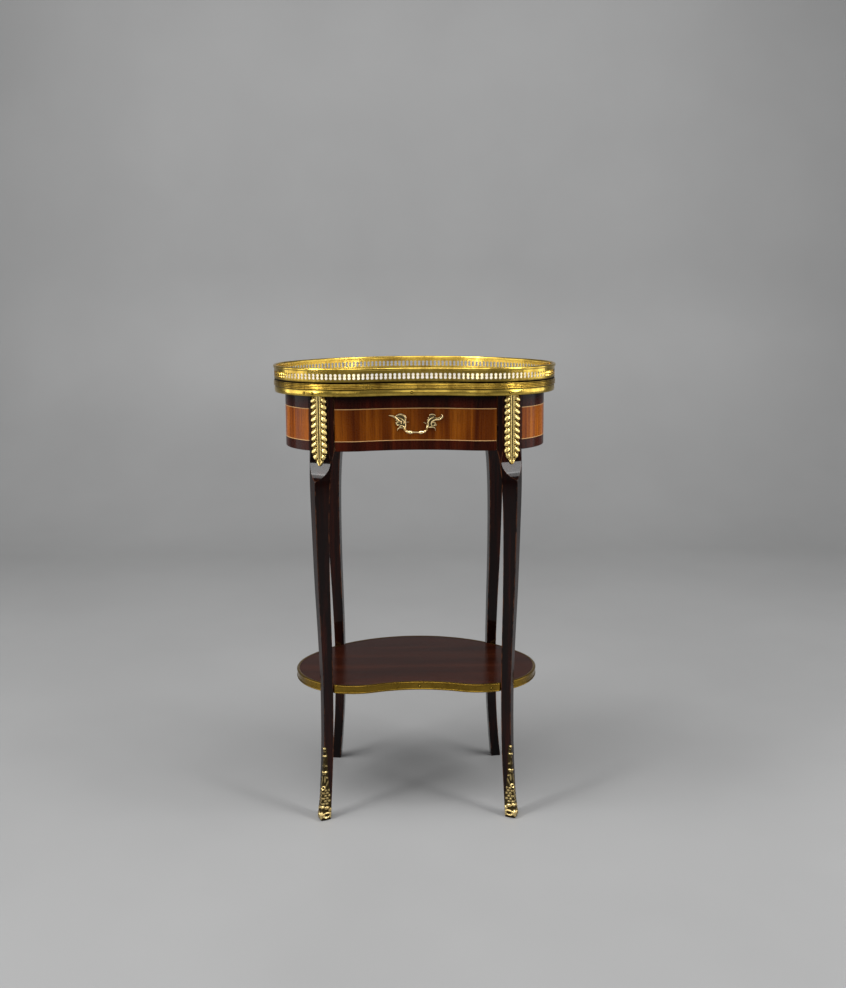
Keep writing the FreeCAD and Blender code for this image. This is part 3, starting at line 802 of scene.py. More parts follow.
@dataclass(frozen=True)
class VeneerLook:
    """Colours and polish of a veneer: its stripes and border from dark to light, by the figure's value."""

    name: str
    # painted light: how much the red and green of the stripes are raised, for panels that catch more light
    painted_light: float
    stripes: tuple[tuple[float, Colour], ...] = (
        (0.36, (0.040, 0.0065, 0.0006)),
        (0.46, (0.098, 0.021, 0.0014)),
        (0.55, (0.160, 0.041, 0.0025)),
        (0.68, (0.250, 0.076, 0.006)),
    )
    border: tuple[tuple[float, Colour], ...] = (
        (0.36, (0.006, 0.0009, 0.0005)),
        (0.52, (0.026, 0.0030, 0.0010)),
        (0.68, (0.062, 0.0085, 0.002)),
    )
    pore: Colour = (0.045, 0.011, 0.003)
    string: Colour = (0.50, 0.29, 0.12)
    # colour of the painted shadow cast by the plain band
    painted_shadow: Colour = (0.0015, 0.0006, 0.0005)
    rough: float = 0.22
    shine: float = 0.06
    coat: float = 0.08

    def lit_stripes(self) -> list[tuple[float, Colour]]:
        """The stripes, their red and green raised by this copy's painted light.

        Returns:
            Values of the figure and their colours.
        """
        painted_light = self.painted_light
        return [(value, (red * painted_light, green * painted_light, blue)) for value, (red, green, blue) in self.stripes]


POLISHED_BRASS = MetalLook(
    "polished_brass",
    bright=(0.70, 0.49, 0.095), dull=(0.19, 0.105, 0.012), dirt_and_shade=(0.025, 0.015, 0.004), rough=0.15, worn=0.85,
)
REEDED_BRASS = MetalLook(
    "reeded_brass",
    bright=(0.53, 0.345, 0.055), dull=(0.10, 0.053, 0.008), dirt_and_shade=(0.004, 0.0025, 0.001), rough=0.20, worn=1.0,
)
GILT_CASTING = MetalLook(
    "gilt_casting",
    bright=(0.88, 0.68, 0.27), dull=(0.54, 0.36, 0.09), dirt_and_shade=(0.006, 0.0035, 0.0015), rough=0.28, worn=0.5,
)
SHOE_CASTING = MetalLook(
    "shoe_casting",
    bright=(0.78, 0.60, 0.26), dull=(0.27, 0.16, 0.05), dirt_and_shade=(0.008, 0.005, 0.002), rough=0.20, worn=0.9,
)
PULL_CASTING = MetalLook(
    "pull_casting",
    bright=(0.82, 0.65, 0.34), dull=(0.46, 0.32, 0.12), dirt_and_shade=(0.014, 0.008, 0.003), rough=0.24, worn=0.5,
)
# A darker copy of the brass for the shelf's edging: aged tarnish, and painted shade and painted dark
# reflections under the top.
SHADED_EDGING_BRASS = MetalLook(
    "edging_brass",
    bright=(0.24, 0.145, 0.020), dull=(0.10, 0.056, 0.007), dirt_and_shade=(0.008, 0.005, 0.002), rough=0.20, worn=0.8,
)
LEG_MAHOGANY = WoodLook(
    "leg_mahogany",
    dark=(0.0014, 0.0006, 0.0005), middle=(0.0045, 0.0009, 0.0006), light=(0.030, 0.0042, 0.0014),
    pore=(0.0008, 0.0005, 0.0004), rubbed=(0.085, 0.028, 0.010), rough=0.16, coat=0.30, shine=0.04,
)
SHELF_MAHOGANY = WoodLook(
    "shelf_mahogany",
    dark=(0.015, 0.0036, 0.0018), middle=(0.025, 0.0056, 0.0026), light=(0.040, 0.0094, 0.0038),
    pore=(0.006, 0.0014, 0.0008), rubbed=(0.09, 0.03, 0.012), rough=0.16, coat=0.0, shine=0.045, turned=True,
)
CARCASE_WOOD = WoodLook(
    "carcase_wood",
    dark=(0.20, 0.11, 0.05), middle=(0.33, 0.20, 0.10), light=(0.45, 0.30, 0.16),
    pore=(0.10, 0.05, 0.02), rubbed=(0.50, 0.36, 0.20), rough=0.55, coat=0.0, shine=0.3, turned=True,
)


class Finishes:
    """Makes each material once and hands it out."""

    def __init__(self) -> None:
        """Make the shared groups and all materials."""
        vector, number = "NodeSocketVector", "NodeSocketFloat"
        self.wood = make_group(
            "wood_figure", {"Place": vector}, {"Figure": number, "Pores": number, "Relief": number}, fill_wood
        )
        self.age = make_group(
            "age_marks", {"Place": vector}, {"Tarnish": number, "Rub": number, "Specks": number}, fill_age
        )
        self.brass = self.make_metal(POLISHED_BRASS)
        self.reeds = self.make_metal(REEDED_BRASS)
        self.gilt = self.make_metal(GILT_CASTING)
        self.shoes = self.make_metal(SHOE_CASTING)
        self.pull = self.make_metal(PULL_CASTING)
        self.edging = self.make_metal(SHADED_EDGING_BRASS)
        self.legs = self.make_wood(LEG_MAHOGANY)
        self.shelf = self.make_wood(SHELF_MAHOGANY)
        self.carcase = self.make_wood(CARCASE_WOOD)
        self.veneer = self.make_veneer(VeneerLook("drawer_veneer", painted_light=1.0))
        # A lighter copy of the drawer veneer for the side and back panels: painted light.
        self.lit_end_veneer = self.make_veneer(VeneerLook("panel_veneer", painted_light=1.85))
        self.marble = self.make_marble()
        self.floor = self.make_floor()

    def start(self, name: str) -> tuple[bpy.types.Material, Recipe, bpy.types.Node]:
        """Start a material with its shader.

        Args:
            name: the material's name.

        Returns:
            The material, its node tree and the shader node.
        """
        material = bpy.data.materials.new(name)
        material.use_nodes = True
        material.node_tree.nodes.clear()
        recipe = Recipe(material.node_tree)
        shader = recipe.add("ShaderNodeBsdfPrincipled")
        recipe.add("ShaderNodeOutputMaterial", None, Surface=shader.outputs[0])
        return material, recipe, shader

    def relief(
        self, recipe: Recipe, shader: bpy.types.Node, height: object, strength: float, depth: float
    ) -> None:
        """Feed a height to the shader's normal.

        Args:
            recipe: the material's nodes.
            shader: its shader.
            height: the height.
            strength: strength of the effect.
            depth: depth in metres.
        """
        bump = recipe.add("ShaderNodeBump", None, Height=height, Strength=strength, Distance=depth)
        recipe.feed(shader.inputs["Normal"], bump.outputs[0])

    def make_wood(self, look: WoodLook) -> bpy.types.Material:
        """A polished wood with rubbed edges, its grain upright, or along X where it is turned.

        Args:
            look: its colours and polish.

        Returns:
            The material.
        """
        material, recipe, shader = self.start(look.name)
        place = recipe.add("ShaderNodeTexCoord").outputs["Object"]
        if look.turned:
            split = recipe.add("ShaderNodeSeparateXYZ", None, Vector=place)
            place = recipe.add(
                "ShaderNodeCombineXYZ", None, X=split.outputs["Y"], Y=split.outputs["Z"], Z=split.outputs["X"]
            ).outputs[0]
        grain = recipe.add("ShaderNodeGroup", {"node_tree": self.wood}, Place=place)
        age = recipe.add("ShaderNodeGroup", {"node_tree": self.age}, Place=place)
        figure = [(0.34, look.dark), (0.5, look.middle), (0.68, look.light)]
        colour = recipe.ramp(grain.outputs["Figure"], figure)
        colour = recipe.mix(recipe.math("MULTIPLY", grain.outputs["Pores"], 0.6), colour, look.pore)
        edge = recipe.add("ShaderNodeAttribute", {"attribute_name": "wear"}).outputs["Fac"]
        patches = recipe.ramp(recipe.noise(place, 45.0, 5.0, 0.65), [(0.44, 0.0), (0.62, 1.0)])
        colour = recipe.mix(recipe.math("MULTIPLY", edge, patches), colour, look.rubbed)
        recipe.feed(shader.inputs["Base Color"], colour)
        rough = recipe.math("ADD", recipe.math("MULTIPLY", age.outputs["Rub"], 0.14), look.rough - 0.07)
        recipe.feed(shader.inputs["Roughness"], rough)
        shader.inputs["Specular IOR Level"].default_value = look.shine
        shader.inputs["Coat Weight"].default_value = look.coat
        shader.inputs["Coat Roughness"].default_value = 0.05
        self.relief(recipe, shader, grain.outputs["Relief"], 0.12, 0.0004)
        return material

    def make_metal(self, look: MetalLook) -> bpy.types.Material:
        """A brass with cloudy tarnish, rubbed brightness, and dirt and painted shade in its hollows.

        Args:
            look: its colours and polish.

        Returns:
            The material.
        """
        material, recipe, shader = self.start(look.name)
        place = recipe.add("ShaderNodeTexCoord").outputs["Object"]
        age = recipe.add("ShaderNodeGroup", {"node_tree": self.age}, Place=place)
        hollow = recipe.add("ShaderNodeAttribute", {"attribute_name": "wear"}).outputs["Fac"]
        tarnish = recipe.math("MULTIPLY", age.outputs["Tarnish"], look.worn)
        colour = recipe.mix(tarnish, look.bright, look.dull)
        # The hollows are darkened by dirt and painted shade; the specks are real dirt.
        dirt_and_shade = recipe.math("MAXIMUM", hollow, recipe.math("MULTIPLY", age.outputs["Specks"], look.worn * 0.5))
        colour = recipe.mix(dirt_and_shade, colour, look.dirt_and_shade)
        recipe.feed(shader.inputs["Base Color"], colour)
        shader.inputs["Metallic"].default_value = 1.0
        rough = recipe.math("ADD", recipe.math("MULTIPLY", tarnish, 0.22), look.rough - 0.06)
        rough = recipe.math("ADD", rough, recipe.math("MULTIPLY", age.outputs["Rub"], 0.12))
        rough = recipe.math("ADD", rough, recipe.math("MULTIPLY", dirt_and_shade, 0.3))
        recipe.feed(shader.inputs["Roughness"], rough)
        self.relief(recipe, shader, age.outputs["Rub"], 0.10, 0.0003)
        return material

    def make_veneer(self, look: VeneerLook) -> bpy.types.Material:
        """Striped veneer between pale stringing and dark cross-bandings, with a painted shadow under the
        plain band.

        Args:
            look: its colours and polish.

        Returns:
            The material.
        """
        material, recipe, shader = self.start(look.name)
        spot = recipe.add("ShaderNodeTexCoord").outputs["Object"]
        split = recipe.add("ShaderNodeSeparateXYZ", None, Vector=spot)
        along = recipe.add("ShaderNodeAttribute", {"attribute_name": "along"}).outputs["Fac"]
        height = split.outputs["Z"]
        place = recipe.add("ShaderNodeCombineXYZ", None, X=along, Y=0.0, Z=height).outputs[0]
        grain = recipe.add("ShaderNodeGroup", {"node_tree": self.wood}, Place=place)
        age = recipe.add("ShaderNodeGroup", {"node_tree": self.age}, Place=place)
        stripes = recipe.ramp(grain.outputs["Figure"], look.lit_stripes())
        border = recipe.ramp(grain.outputs["Figure"], look.border)
        inside = recipe.between(height, FIELD_LOW * MM, FIELD_HIGH * MM, 0.1 * MM)
        colour = recipe.mix(inside, border, stripes)
        colour = recipe.mix(recipe.math("MULTIPLY", grain.outputs["Pores"], 0.45), colour, look.pore)
        upper, lower = (
            recipe.between(height, (middle - STRING_HALF) * MM, (middle + STRING_HALF) * MM, 0.08 * MM)
            for middle in (STRING_HIGH, STRING_LOW)
        )
        colour = recipe.mix(recipe.math("ADD", upper, lower, clamp=True), colour, look.string)
        # Painted shadow of the plain band on the top of the veneer.
        painted_shadow = recipe.ramp(height, [(SHADOW_FOOT * MM, 0.0), (SHADOW_HEAD * MM, 0.85)])
        colour = recipe.mix(painted_shadow, colour, look.painted_shadow)
        recipe.feed(shader.inputs["Base Color"], colour)
        rough = recipe.math("ADD", recipe.math("MULTIPLY", age.outputs["Rub"], 0.12), look.rough)
        recipe.feed(shader.inputs["Roughness"], rough)
        shader.inputs["Specular IOR Level"].default_value = look.shine
        shader.inputs["Coat Weight"].default_value = look.coat
        shader.inputs["Coat Roughness"].default_value = 0.08
        self.relief(recipe, shader, grain.outputs["Relief"], 0.08, 0.0003)
        return material

    def make_marble(self) -> bpy.types.Material:
        """White marble with faint grey veins.

        Returns:
            The material.
        """
        material, recipe, shader = self.start("white_marble")
        place = recipe.add("ShaderNodeTexCoord").outputs["Object"]
        cloud = recipe.noise(place, 9.0, 6.0, 0.6, 1.2)
        drift = recipe.noise(place, 6.0, 8.0, 0.62, 2.2)
        vein = recipe.math("ABSOLUTE", recipe.math("SUBTRACT", drift, 0.5))
        colour = recipe.ramp(cloud, [(0.3, (0.66, 0.63, 0.56)), (0.7, (0.80, 0.77, 0.70))])
        line = recipe.ramp(vein, [(0.0, 1.0), (0.035, 0.0)])
        colour = recipe.mix(recipe.math("MULTIPLY", line, 0.5), colour, (0.38, 0.38, 0.38))
        recipe.feed(shader.inputs["Base Color"], colour)
        rough = recipe.math("ADD", recipe.math("MULTIPLY", cloud, 0.12), 0.10)
        recipe.feed(shader.inputs["Roughness"], rough)
        return material

    def make_floor(self) -> bpy.types.Material:
        """Plain pale floor.

        Returns:
            The material.
        """
        material, recipe, shader = self.start("pale_floor")
        place = recipe.add("ShaderNodeTexCoord").outputs["Object"]
        tone = recipe.ramp(recipe.noise(place, 2.0, 3.0), [(0.3, 0.24), (0.7, 0.26)])
        recipe.feed(shader.inputs["Base Color"], tone)
        shader.inputs["Roughness"].default_value = 0.5
        return material


# Places of the legs

@dataclass(frozen=True)
class Post:
    """Standing place of a leg: its own +X points outward from the table."""

    name: str
    axis: Vector
    outward: Vector

    @property
    def aside(self) -> Vector:
        """Direction of the leg's own +Y."""
        return Vector((-self.outward.y, self.outward.x))

    def world(self, spot: Vector) -> Vector:
        """Carry a point from the leg's own frame to the table's.

        Args:
            spot: point in the leg's frame.

        Returns:
            The point in the table's frame.
        """
        plan = self.axis + self.outward * spot.x + self.aside * spot.y
        return Vector((plan.x, plan.y, spot.z))

    def holds(self, spot: Vector, reach: float, half: float) -> bool:
        """Whether a spot in plan lies inside the leg's section.

        Args:
            spot: the spot.
            reach: how far the section's middle lies outward.
            half: half of the section's diagonal.

        Returns:
            True if it is inside.
        """
        offset = spot - self.axis
        return abs(offset.dot(self.outward) - reach) + abs(offset.dot(self.aside)) < half


def make_posts(front_angle: float = 22.6, back_angle: float = 37.8) -> dict[str, Post]:
    """Stand each leg with its side corners flush with the face of the case.

    Args:
        front_angle: where the front legs stand on the round ends, from straight forward.
        back_angle: where the back legs stand on the bowed back, from straight back.

    Returns:
        The four places by name.
    """
    runs = TOP.runs()
    back, end = runs[0], runs[3]
    posts = {}
    for name, run, angle in (("front", end, front_angle - 90), ("back", back, 90 - back_angle)):
        reach = math.sqrt((run.radius - APRON_OUT) ** 2 - HALF_BLOCK**2)
        outward = Vector((math.cos(math.radians(angle)), math.sin(math.radians(angle))))
        spot = run.centre + outward * reach
        for side, sign in (("right", 1), ("left", -1)):
            label = f"{name}_{side}"
            posts[label] = Post(label, Vector((sign * spot.x, spot.y)), Vector((sign * outward.x, outward.y)))
    return posts


POSTS = make_posts()


def clear_stretch(plan: Kidney, first: str, second: str, reach: float, half: float) -> tuple[float, float]:
    """The part of an outline that is free between two legs.

    Args:
        plan: the outline.
        first: leg at the start, going round by the left end.
        second: leg at the end.
        reach: how far the legs' sections lie outward at that height.
        half: half of their diagonal, with clearance.

    Returns:
        Where the free part starts and ends.
    """
    step = 0.2
    start = plan.nearest(POSTS[first].axis)
    finish = plan.nearest(POSTS[second].axis)
    if finish < start:
        start -= plan.length
    while POSTS[first].holds(plan.station(start).point, reach, half):
        start += step
    while POSTS[second].holds(plan.station(finish).point, reach, half):
        finish -= step
    return start, finish


# The top

@dataclass
class TopEdge:
    """Brass round the top: plain band, reeded moulding, pierced gallery and rim."""

    finishes: Finishes
    scatter: Scatter
    pitch: float = 6.85
    strip_inset: float = 1.6
    strip_thickness: float = 1.6
    spacing: float = 5.0

    def build(self) -> None:
        """Make every piece of the edge."""
        self.make_band()
        self.make_reeds()
        self.make_strip()
        self.make_rim()

    def make_band(self) -> None:
        """The plain band on the edge of the board, darkened along its two edges by dirt and painted shade."""
        face, back, swell, dirty_shaded = 2.5, 4.0, 0.9, 1.8
        profile = [
            (back, CASE_TOP),
            *bulge((face, CASE_TOP), (face, BOARD_TOP), swell, 10),
            (face, BOARD_TOP),
            (back, BOARD_TOP),
        ]
        # Dirt and painted shade darken the band towards its top and bottom edges, where it meets the moulding
        # and the apron.
        wear = [0.6 * max(0.0, 1.0 - min(z - CASE_TOP, BOARD_TOP - z) / dirty_shaded) for _, z in profile]
        shape = sweep(TOP.loop(self.spacing), profile, True, wear)
        make_piece(
            "plain_band_brass", shape, self.finishes.brass, Body.TABLE, ["plain_band"],
            sharp=60.0,
        )

    def make_reeds(self) -> None:
        """The moulding round the marble: three reeds, a small bead and a dark channel under the gallery."""
        face, crest, channel, inner = 1.7, 1.1, 4.3, 6.5
        low, reed, bead = BOARD_TOP + 0.9, 2.35, 1.3
        clean_lit, dirty_shaded = 0.95, 1.7
        profile: list[Point] = [(inner, BOARD_TOP), (face + 1.0, BOARD_TOP), (face + 1.0, low - 0.1)]
        for step in range(3):
            start = low + reed * step
            profile += bulge((face, start), (face, start + reed), crest)
        start = low + reed * 3 + 0.4
        profile.append((face + 0.5, start - 0.2))
        profile += bulge((face, start), (face, start + bead), 0.7, 6)
        profile += [(face + 0.2, start + bead), (channel, start + bead + 0.2)]
        profile += [(channel, MOULDING_TOP), (inner, MOULDING_TOP)]
        # Dirt and painted shade in the valleys between the reeds and in the channel under the gallery, deeper
        # with the inset.
        wear = []
        for inset, _ in profile:
            share = max(0.0, min(1.0, (inset - clean_lit) / (dirty_shaded - clean_lit)))
            wear.append(share**2 if inset < inner else 0.0)
        shape = sweep(TOP.loop(self.spacing), profile, True, wear)
        make_piece(
            "reeded_moulding_brass", shape, self.finishes.reeds, Body.TABLE, ["reeded_moulding"],
            sharp=60.0,
        )

    def opening(self) -> list[Point]:
        """Right half of a waisted opening, from its foot to its head.

        Returns:
            Points as distance from the middle and height over the strip's foot.
        """
        foot, head, wide, waist = 3.7, 12.8, 2.4, 1.2
        middle = (foot + head) / 2
        lobe = (head - foot) / 4
        upward = [
            (0.0, foot),
            (wide * 0.72, foot + lobe * 0.3),
            (wide, foot + lobe),
            (wide * 0.78, foot + lobe * 1.62),
        ]
        return upward + [(waist, middle)] + [(x, 2 * middle - z) for x, z in reversed(upward)]

    def cell(self, width: float) -> Shape:
        """One length of the strip with one opening, standing at its own foot.

        Args:
            width: length of strip that it takes.

        Returns:
            A closed plate, its face towards -Y.
        """
        height = RIM_FOOT - MOULDING_TOP + 0.4
        right = self.opening()
        edge = [(0.0, 0.0), (width / 2, 0.0)]
        edge += [(width / 2, z) for _, z in right[2:-2]]
        edge += [(width / 2, height), (0.0, height)]
        hole = right + [(-x, z) for x, z in reversed(right[1:-1])]
        outside = edge + [(-x, z) for x, z in reversed(edge[1:-1])]
        half = self.strip_thickness / 2
        count = len(hole)
        shape = Shape()
        for outline, deep in ((hole, -half), (outside, -half), (hole, half), (outside, half)):
            for x, z in outline:
                # The foot of the strip is darkened with dirt and painted shade, over the channel below it.
                shape.add(Vector((x, deep, z)), 0.9 if z == 0.0 else 0.0)
        for index in range(count):
            following = (index + 1) % count
            for one, other in ((0, count), (count, 3 * count), (3 * count, 2 * count), (2 * count, 0)):
                shape.faces.append((one + index, one + following, other + following, other + index))
        return shape

    def make_strip(self) -> None:
        """The pierced strip, one opening after another round the top."""
        plan = TOP.inset(self.strip_inset + self.strip_thickness / 2)
        stations = plan.loop(self.pitch)
        overlap = 1.003
        pattern = self.cell(plan.length / len(stations) * overlap)
        finish = self.finishes.brass
        piece = self.scatter.lay("gallery_strip_pierced", pattern, stations, MOULDING_TOP, finish)
        settle(piece, Body.TABLE, ["gallery_strip"])

    def make_rim(self) -> None:
        """The rounded rail on the strip."""
        low, wide = RIM_FOOT - 1.2, 4.6
        shoulder = low + 2.4
        profile = [
            (3.9, low), (0.7, low), (0.15, low + 0.5),
            *bulge((0.0, shoulder), (wide, shoulder), RIM_TOP - shoulder, 10),
            (wide, shoulder), (4.4, low + 0.5),
        ]
        shape = sweep(TOP.loop(self.spacing), profile, True)
        make_piece(
            "gallery_rim_brass", shape, self.finishes.brass, Body.TABLE, ["gallery_rim"],
            sharp=50.0,
        )


# The case and the drawer front

@dataclass
class Case:
    """Veneered panels between the legs, and the drawer front."""

    finishes: Finishes
    spacing: float = 4.0
    soft: float = 0.6
    joint: float = 0.2
    drawer_gap: float = 0.8
    rail_height: float = 16.0
    rail_gap: float = 1.2
    rebate: float = 7.5

    def build(self) -> None:
        """Make the panels and the drawer front."""
        for name, first, second in (
            ("left_apron", "back_left", "front_left"),
            ("right_apron", "front_right", "back_right"),
            ("back_apron", "back_right", "back_left"),
        ):
            self.make_panel(name, first, second)
        self.make_front()

    def make_panel(self, name: str, first: str, second: str) -> None:
        """One fixed panel.

        Args:
            name: the solid that it replaces.
            first: leg at its start.
            second: leg at its end.
        """
        plan = TOP.inset(APRON_OUT)
        start, finish = clear_stretch(plan, first, second, 0.0, HALF_BLOCK + self.joint)
        thick, soft = APRON_IN - APRON_OUT, self.soft
        profile = [
            (0.0, CASE_BOTTOM + soft), (0.0, CASE_TOP),
            (thick, CASE_TOP), (thick, CASE_BOTTOM), (soft, CASE_BOTTOM),
        ]
        shape = sweep(plan.stretch(start, finish, self.spacing), profile, False)
        make_piece(f"{name}_veneered", shape, self.finishes.lit_end_veneer, Body.TABLE, [name])

    def make_front(self) -> None:
        """The hollow drawer front with the rebate that closes over the rail."""
        plan = TOP.inset(APRON_OUT)
        start, finish = clear_stretch(plan, "front_left", "front_right", 0.0, HALF_BLOCK + self.drawer_gap)
        low, high = CASE_BOTTOM + self.drawer_gap / 2, CASE_TOP - self.drawer_gap / 2
        lap = CASE_BOTTOM + self.rail_height + self.rail_gap
        thick, soft = APRON_IN - APRON_OUT, self.soft
        profile = [
            (0.0, low + soft), (0.0, high - soft), (soft, high), (thick, high),
            (thick, lap), (self.rebate, lap), (self.rebate, low), (soft, low),
        ]
        shape = sweep(plan.stretch(start, finish, self.spacing), profile, False)
        make_piece(
            "drawer_front_veneered", shape, self.finishes.veneer, Body.DRAWER, ["drawer_front"]
        )


# Legs and mounts

@dataclass(frozen=True)
class Boss:
    """A raised lobe of a casting, alike on both sides of its middle line; a ring where it has a bore."""

    across: float
    along: float
    wide: float
    tall: float
    rise: float
    lean: float = 0.0
    bore: float = 0.0
    tilt: float = 0.0

    def height(self, across: float, along: float) -> float:
        """How high the lobe stands at a spot.

        Args:
            across: distance of the spot from the middle line.
            along: its place along the mount.

        Returns:
            The height over the ground, or zero outside the lobe.
        """
        cosine, sine = math.cos(math.radians(self.lean)), math.sin(math.radians(self.lean))
        aside, ahead = across - self.across, along - self.along
        long_way = (aside * cosine + ahead * sine) / self.wide
        short_way = (ahead * cosine - aside * sine) / self.tall
        far = long_way**2 + short_way**2
        if far >= 1.0:
            return 0.0
        if self.bore:
            ring = (2 * math.sqrt(far) - 1 - self.bore) / (1 - self.bore)
            return self.rise * math.sqrt(max(0.0, 1.0 - ring**2))
        return self.rise * math.sqrt(1.0 - far**1.6) * (1.0 + self.tilt * short_way)


def carve(bosses: Sequence[Boss], across: float, along: float, ground: float = 0.0) -> tuple[float, float]:
    """Height of a casting at a spot and how much dirt and painted shade lies there.

    Args:
        bosses: lobes near the spot.
        across: distance of the spot from the middle line.
        along: its place along the mount.
        ground: height of what lies there besides the lobes.

    Returns:
        The height, and a share of dirt and painted shade that is 1 in the valleys between lobes and where the
        casting lies low, and 0 on their crowns.
    """
    valley_width, clean_lit_height = 0.7, 2.0
    heights = sorted([boss.height(across, along) for boss in bosses] + [ground, 0.0], reverse=True)
    first, second = heights[0], heights[1]
    valley = max(0.0, 1.0 - (first - second) / valley_width)
    return first, max(valley, min(1.0, max(0.0, clean_lit_height - first)))


@dataclass(frozen=True)
class LegForm:
    """Bend and taper of a leg.

    Each station gives a height, how far the leg's middle reaches outward there, and how wide the leg is.
    """

    stations: tuple[tuple[float, float, float], ...] = (
        (0.0, 14.5, 16.0), (42.0, 8.0, 15.4), (110.0, 0.8, 15.6), (207.0, -1.5, 16.2), (280.0, 1.4, 17.2),
        (373.0, 7.0, 19.2), (468.0, 9.8, 21.6), (528.0, 9.0, 24.4), (568.0, 4.5, 27.2), (583.0, 0.0, 30.0),
    )
    stop: float = CASE_BOTTOM - 13.0
    stop_radius: float = 33.0

    def at(self, height: float) -> tuple[float, float]:
        """Outward reach and half diagonal at a height.

        Args:
            height: the height.

        Returns:
            Reach of the middle and half of the diagonal.
        """
        if height >= CASE_BOTTOM:
            return 0.0, HALF_BLOCK
        knots = self.stations
        index = max(step for step in range(len(knots) - 1) if knots[step][0] <= height)
        low, high = knots[index], knots[index + 1]
        before, after = knots[max(index - 1, 0)], knots[min(index + 2, len(knots) - 1)]
        span = high[0] - low[0]
        share = (height - low[0]) / span
        result = []
        for item in (1, 2):
            leave = (high[item] - before[item]) / (high[0] - before[0]) * span
            arrive = (after[item] - low[item]) / (after[0] - low[0]) * span
            square, cube = share**2, share**3
            result.append(
                (2 * cube - 3 * square + 1) * low[item] + (cube - 2 * square + share) * leave
                + (3 * square - 2 * cube) * high[item] + (cube - square) * arrive
            )
        return result[0], result[1] / math.sqrt(2)

    def flat(self, height: float) -> float:
        """How far outward the flat for the chute lies at a height, or beyond the arris where it has run out.

        Args:
            height: the height.

        Returns:
            The distance from the leg's axis.
        """
        below = self.stop - height
        if below <= 0:
            return FACET
        if below >= self.stop_radius:
            return FACET + 2 * self.stop_radius
        return FACET + self.stop_radius - math.sqrt(self.stop_radius**2 - below**2)


@dataclass(frozen=True)
class ChuteForm:
    """Sizes of a chute: leaf lobes with slivers between them, beads beside a double stem, a pointed tip."""

    high: float = CASE_TOP - 0.6
    low: float = CASE_BOTTOM - 21.0
    point: float = 17.0
    narrow: float = 10.6
    broad: float = 12.4
    leaves: int = 11
    leaf_pitch: float = 9.6
    stem_middle: float = 2.1
    stem_half: float = 1.75
    stem_rise: float = 2.3
    plate: float = 0.7
    groove: float = 0.5
    rows: int = 240
    columns: int = 53

    def bosses(self) -> list[Boss]:
        """Lobes, slivers and beads down the chute.

        Returns:
            All of them, alike on both sides.
        """
        bosses = []
        for leaf in range(self.leaves):
            head = self.leaf_pitch * leaf
            bosses.append(Boss(8.7, head + 6.0, wide=5.6, tall=3.3, rise=3.3, lean=36.0, tilt=0.35))
            bosses.append(Boss(8.9, head + 1.3, wide=4.6, tall=0.5, rise=2.5, lean=36.0))
            for bead in (head, head + self.leaf_pitch / 2):
                bosses.append(Boss(5.0, bead + 1.4, wide=1.2, tall=1.9, rise=2.5, lean=20.0))
        return bosses

    def half_width(self, near: Sequence[Boss], along: float) -> float:
        """How far the edge lies from the middle line, with the lobes standing out.

        Args:
            near: lobes near the spot.
            along: distance down from the head.

        Returns:
            The distance.
        """
        edge, step, trace = self.narrow, 0.15, 0.2
        while edge < self.broad and any(boss.height(edge, along) > trace for boss in near):
            edge += step
        return edge

    def stem(self, across: float) -> float:
        """Height of the double stem.

        Args:
            across: distance from the middle line.

        Returns:
            The height.
        """
        return self.stem_rise * math.sqrt(max(0.0, 1.0 - ((across - self.stem_middle) / self.stem_half) ** 2))


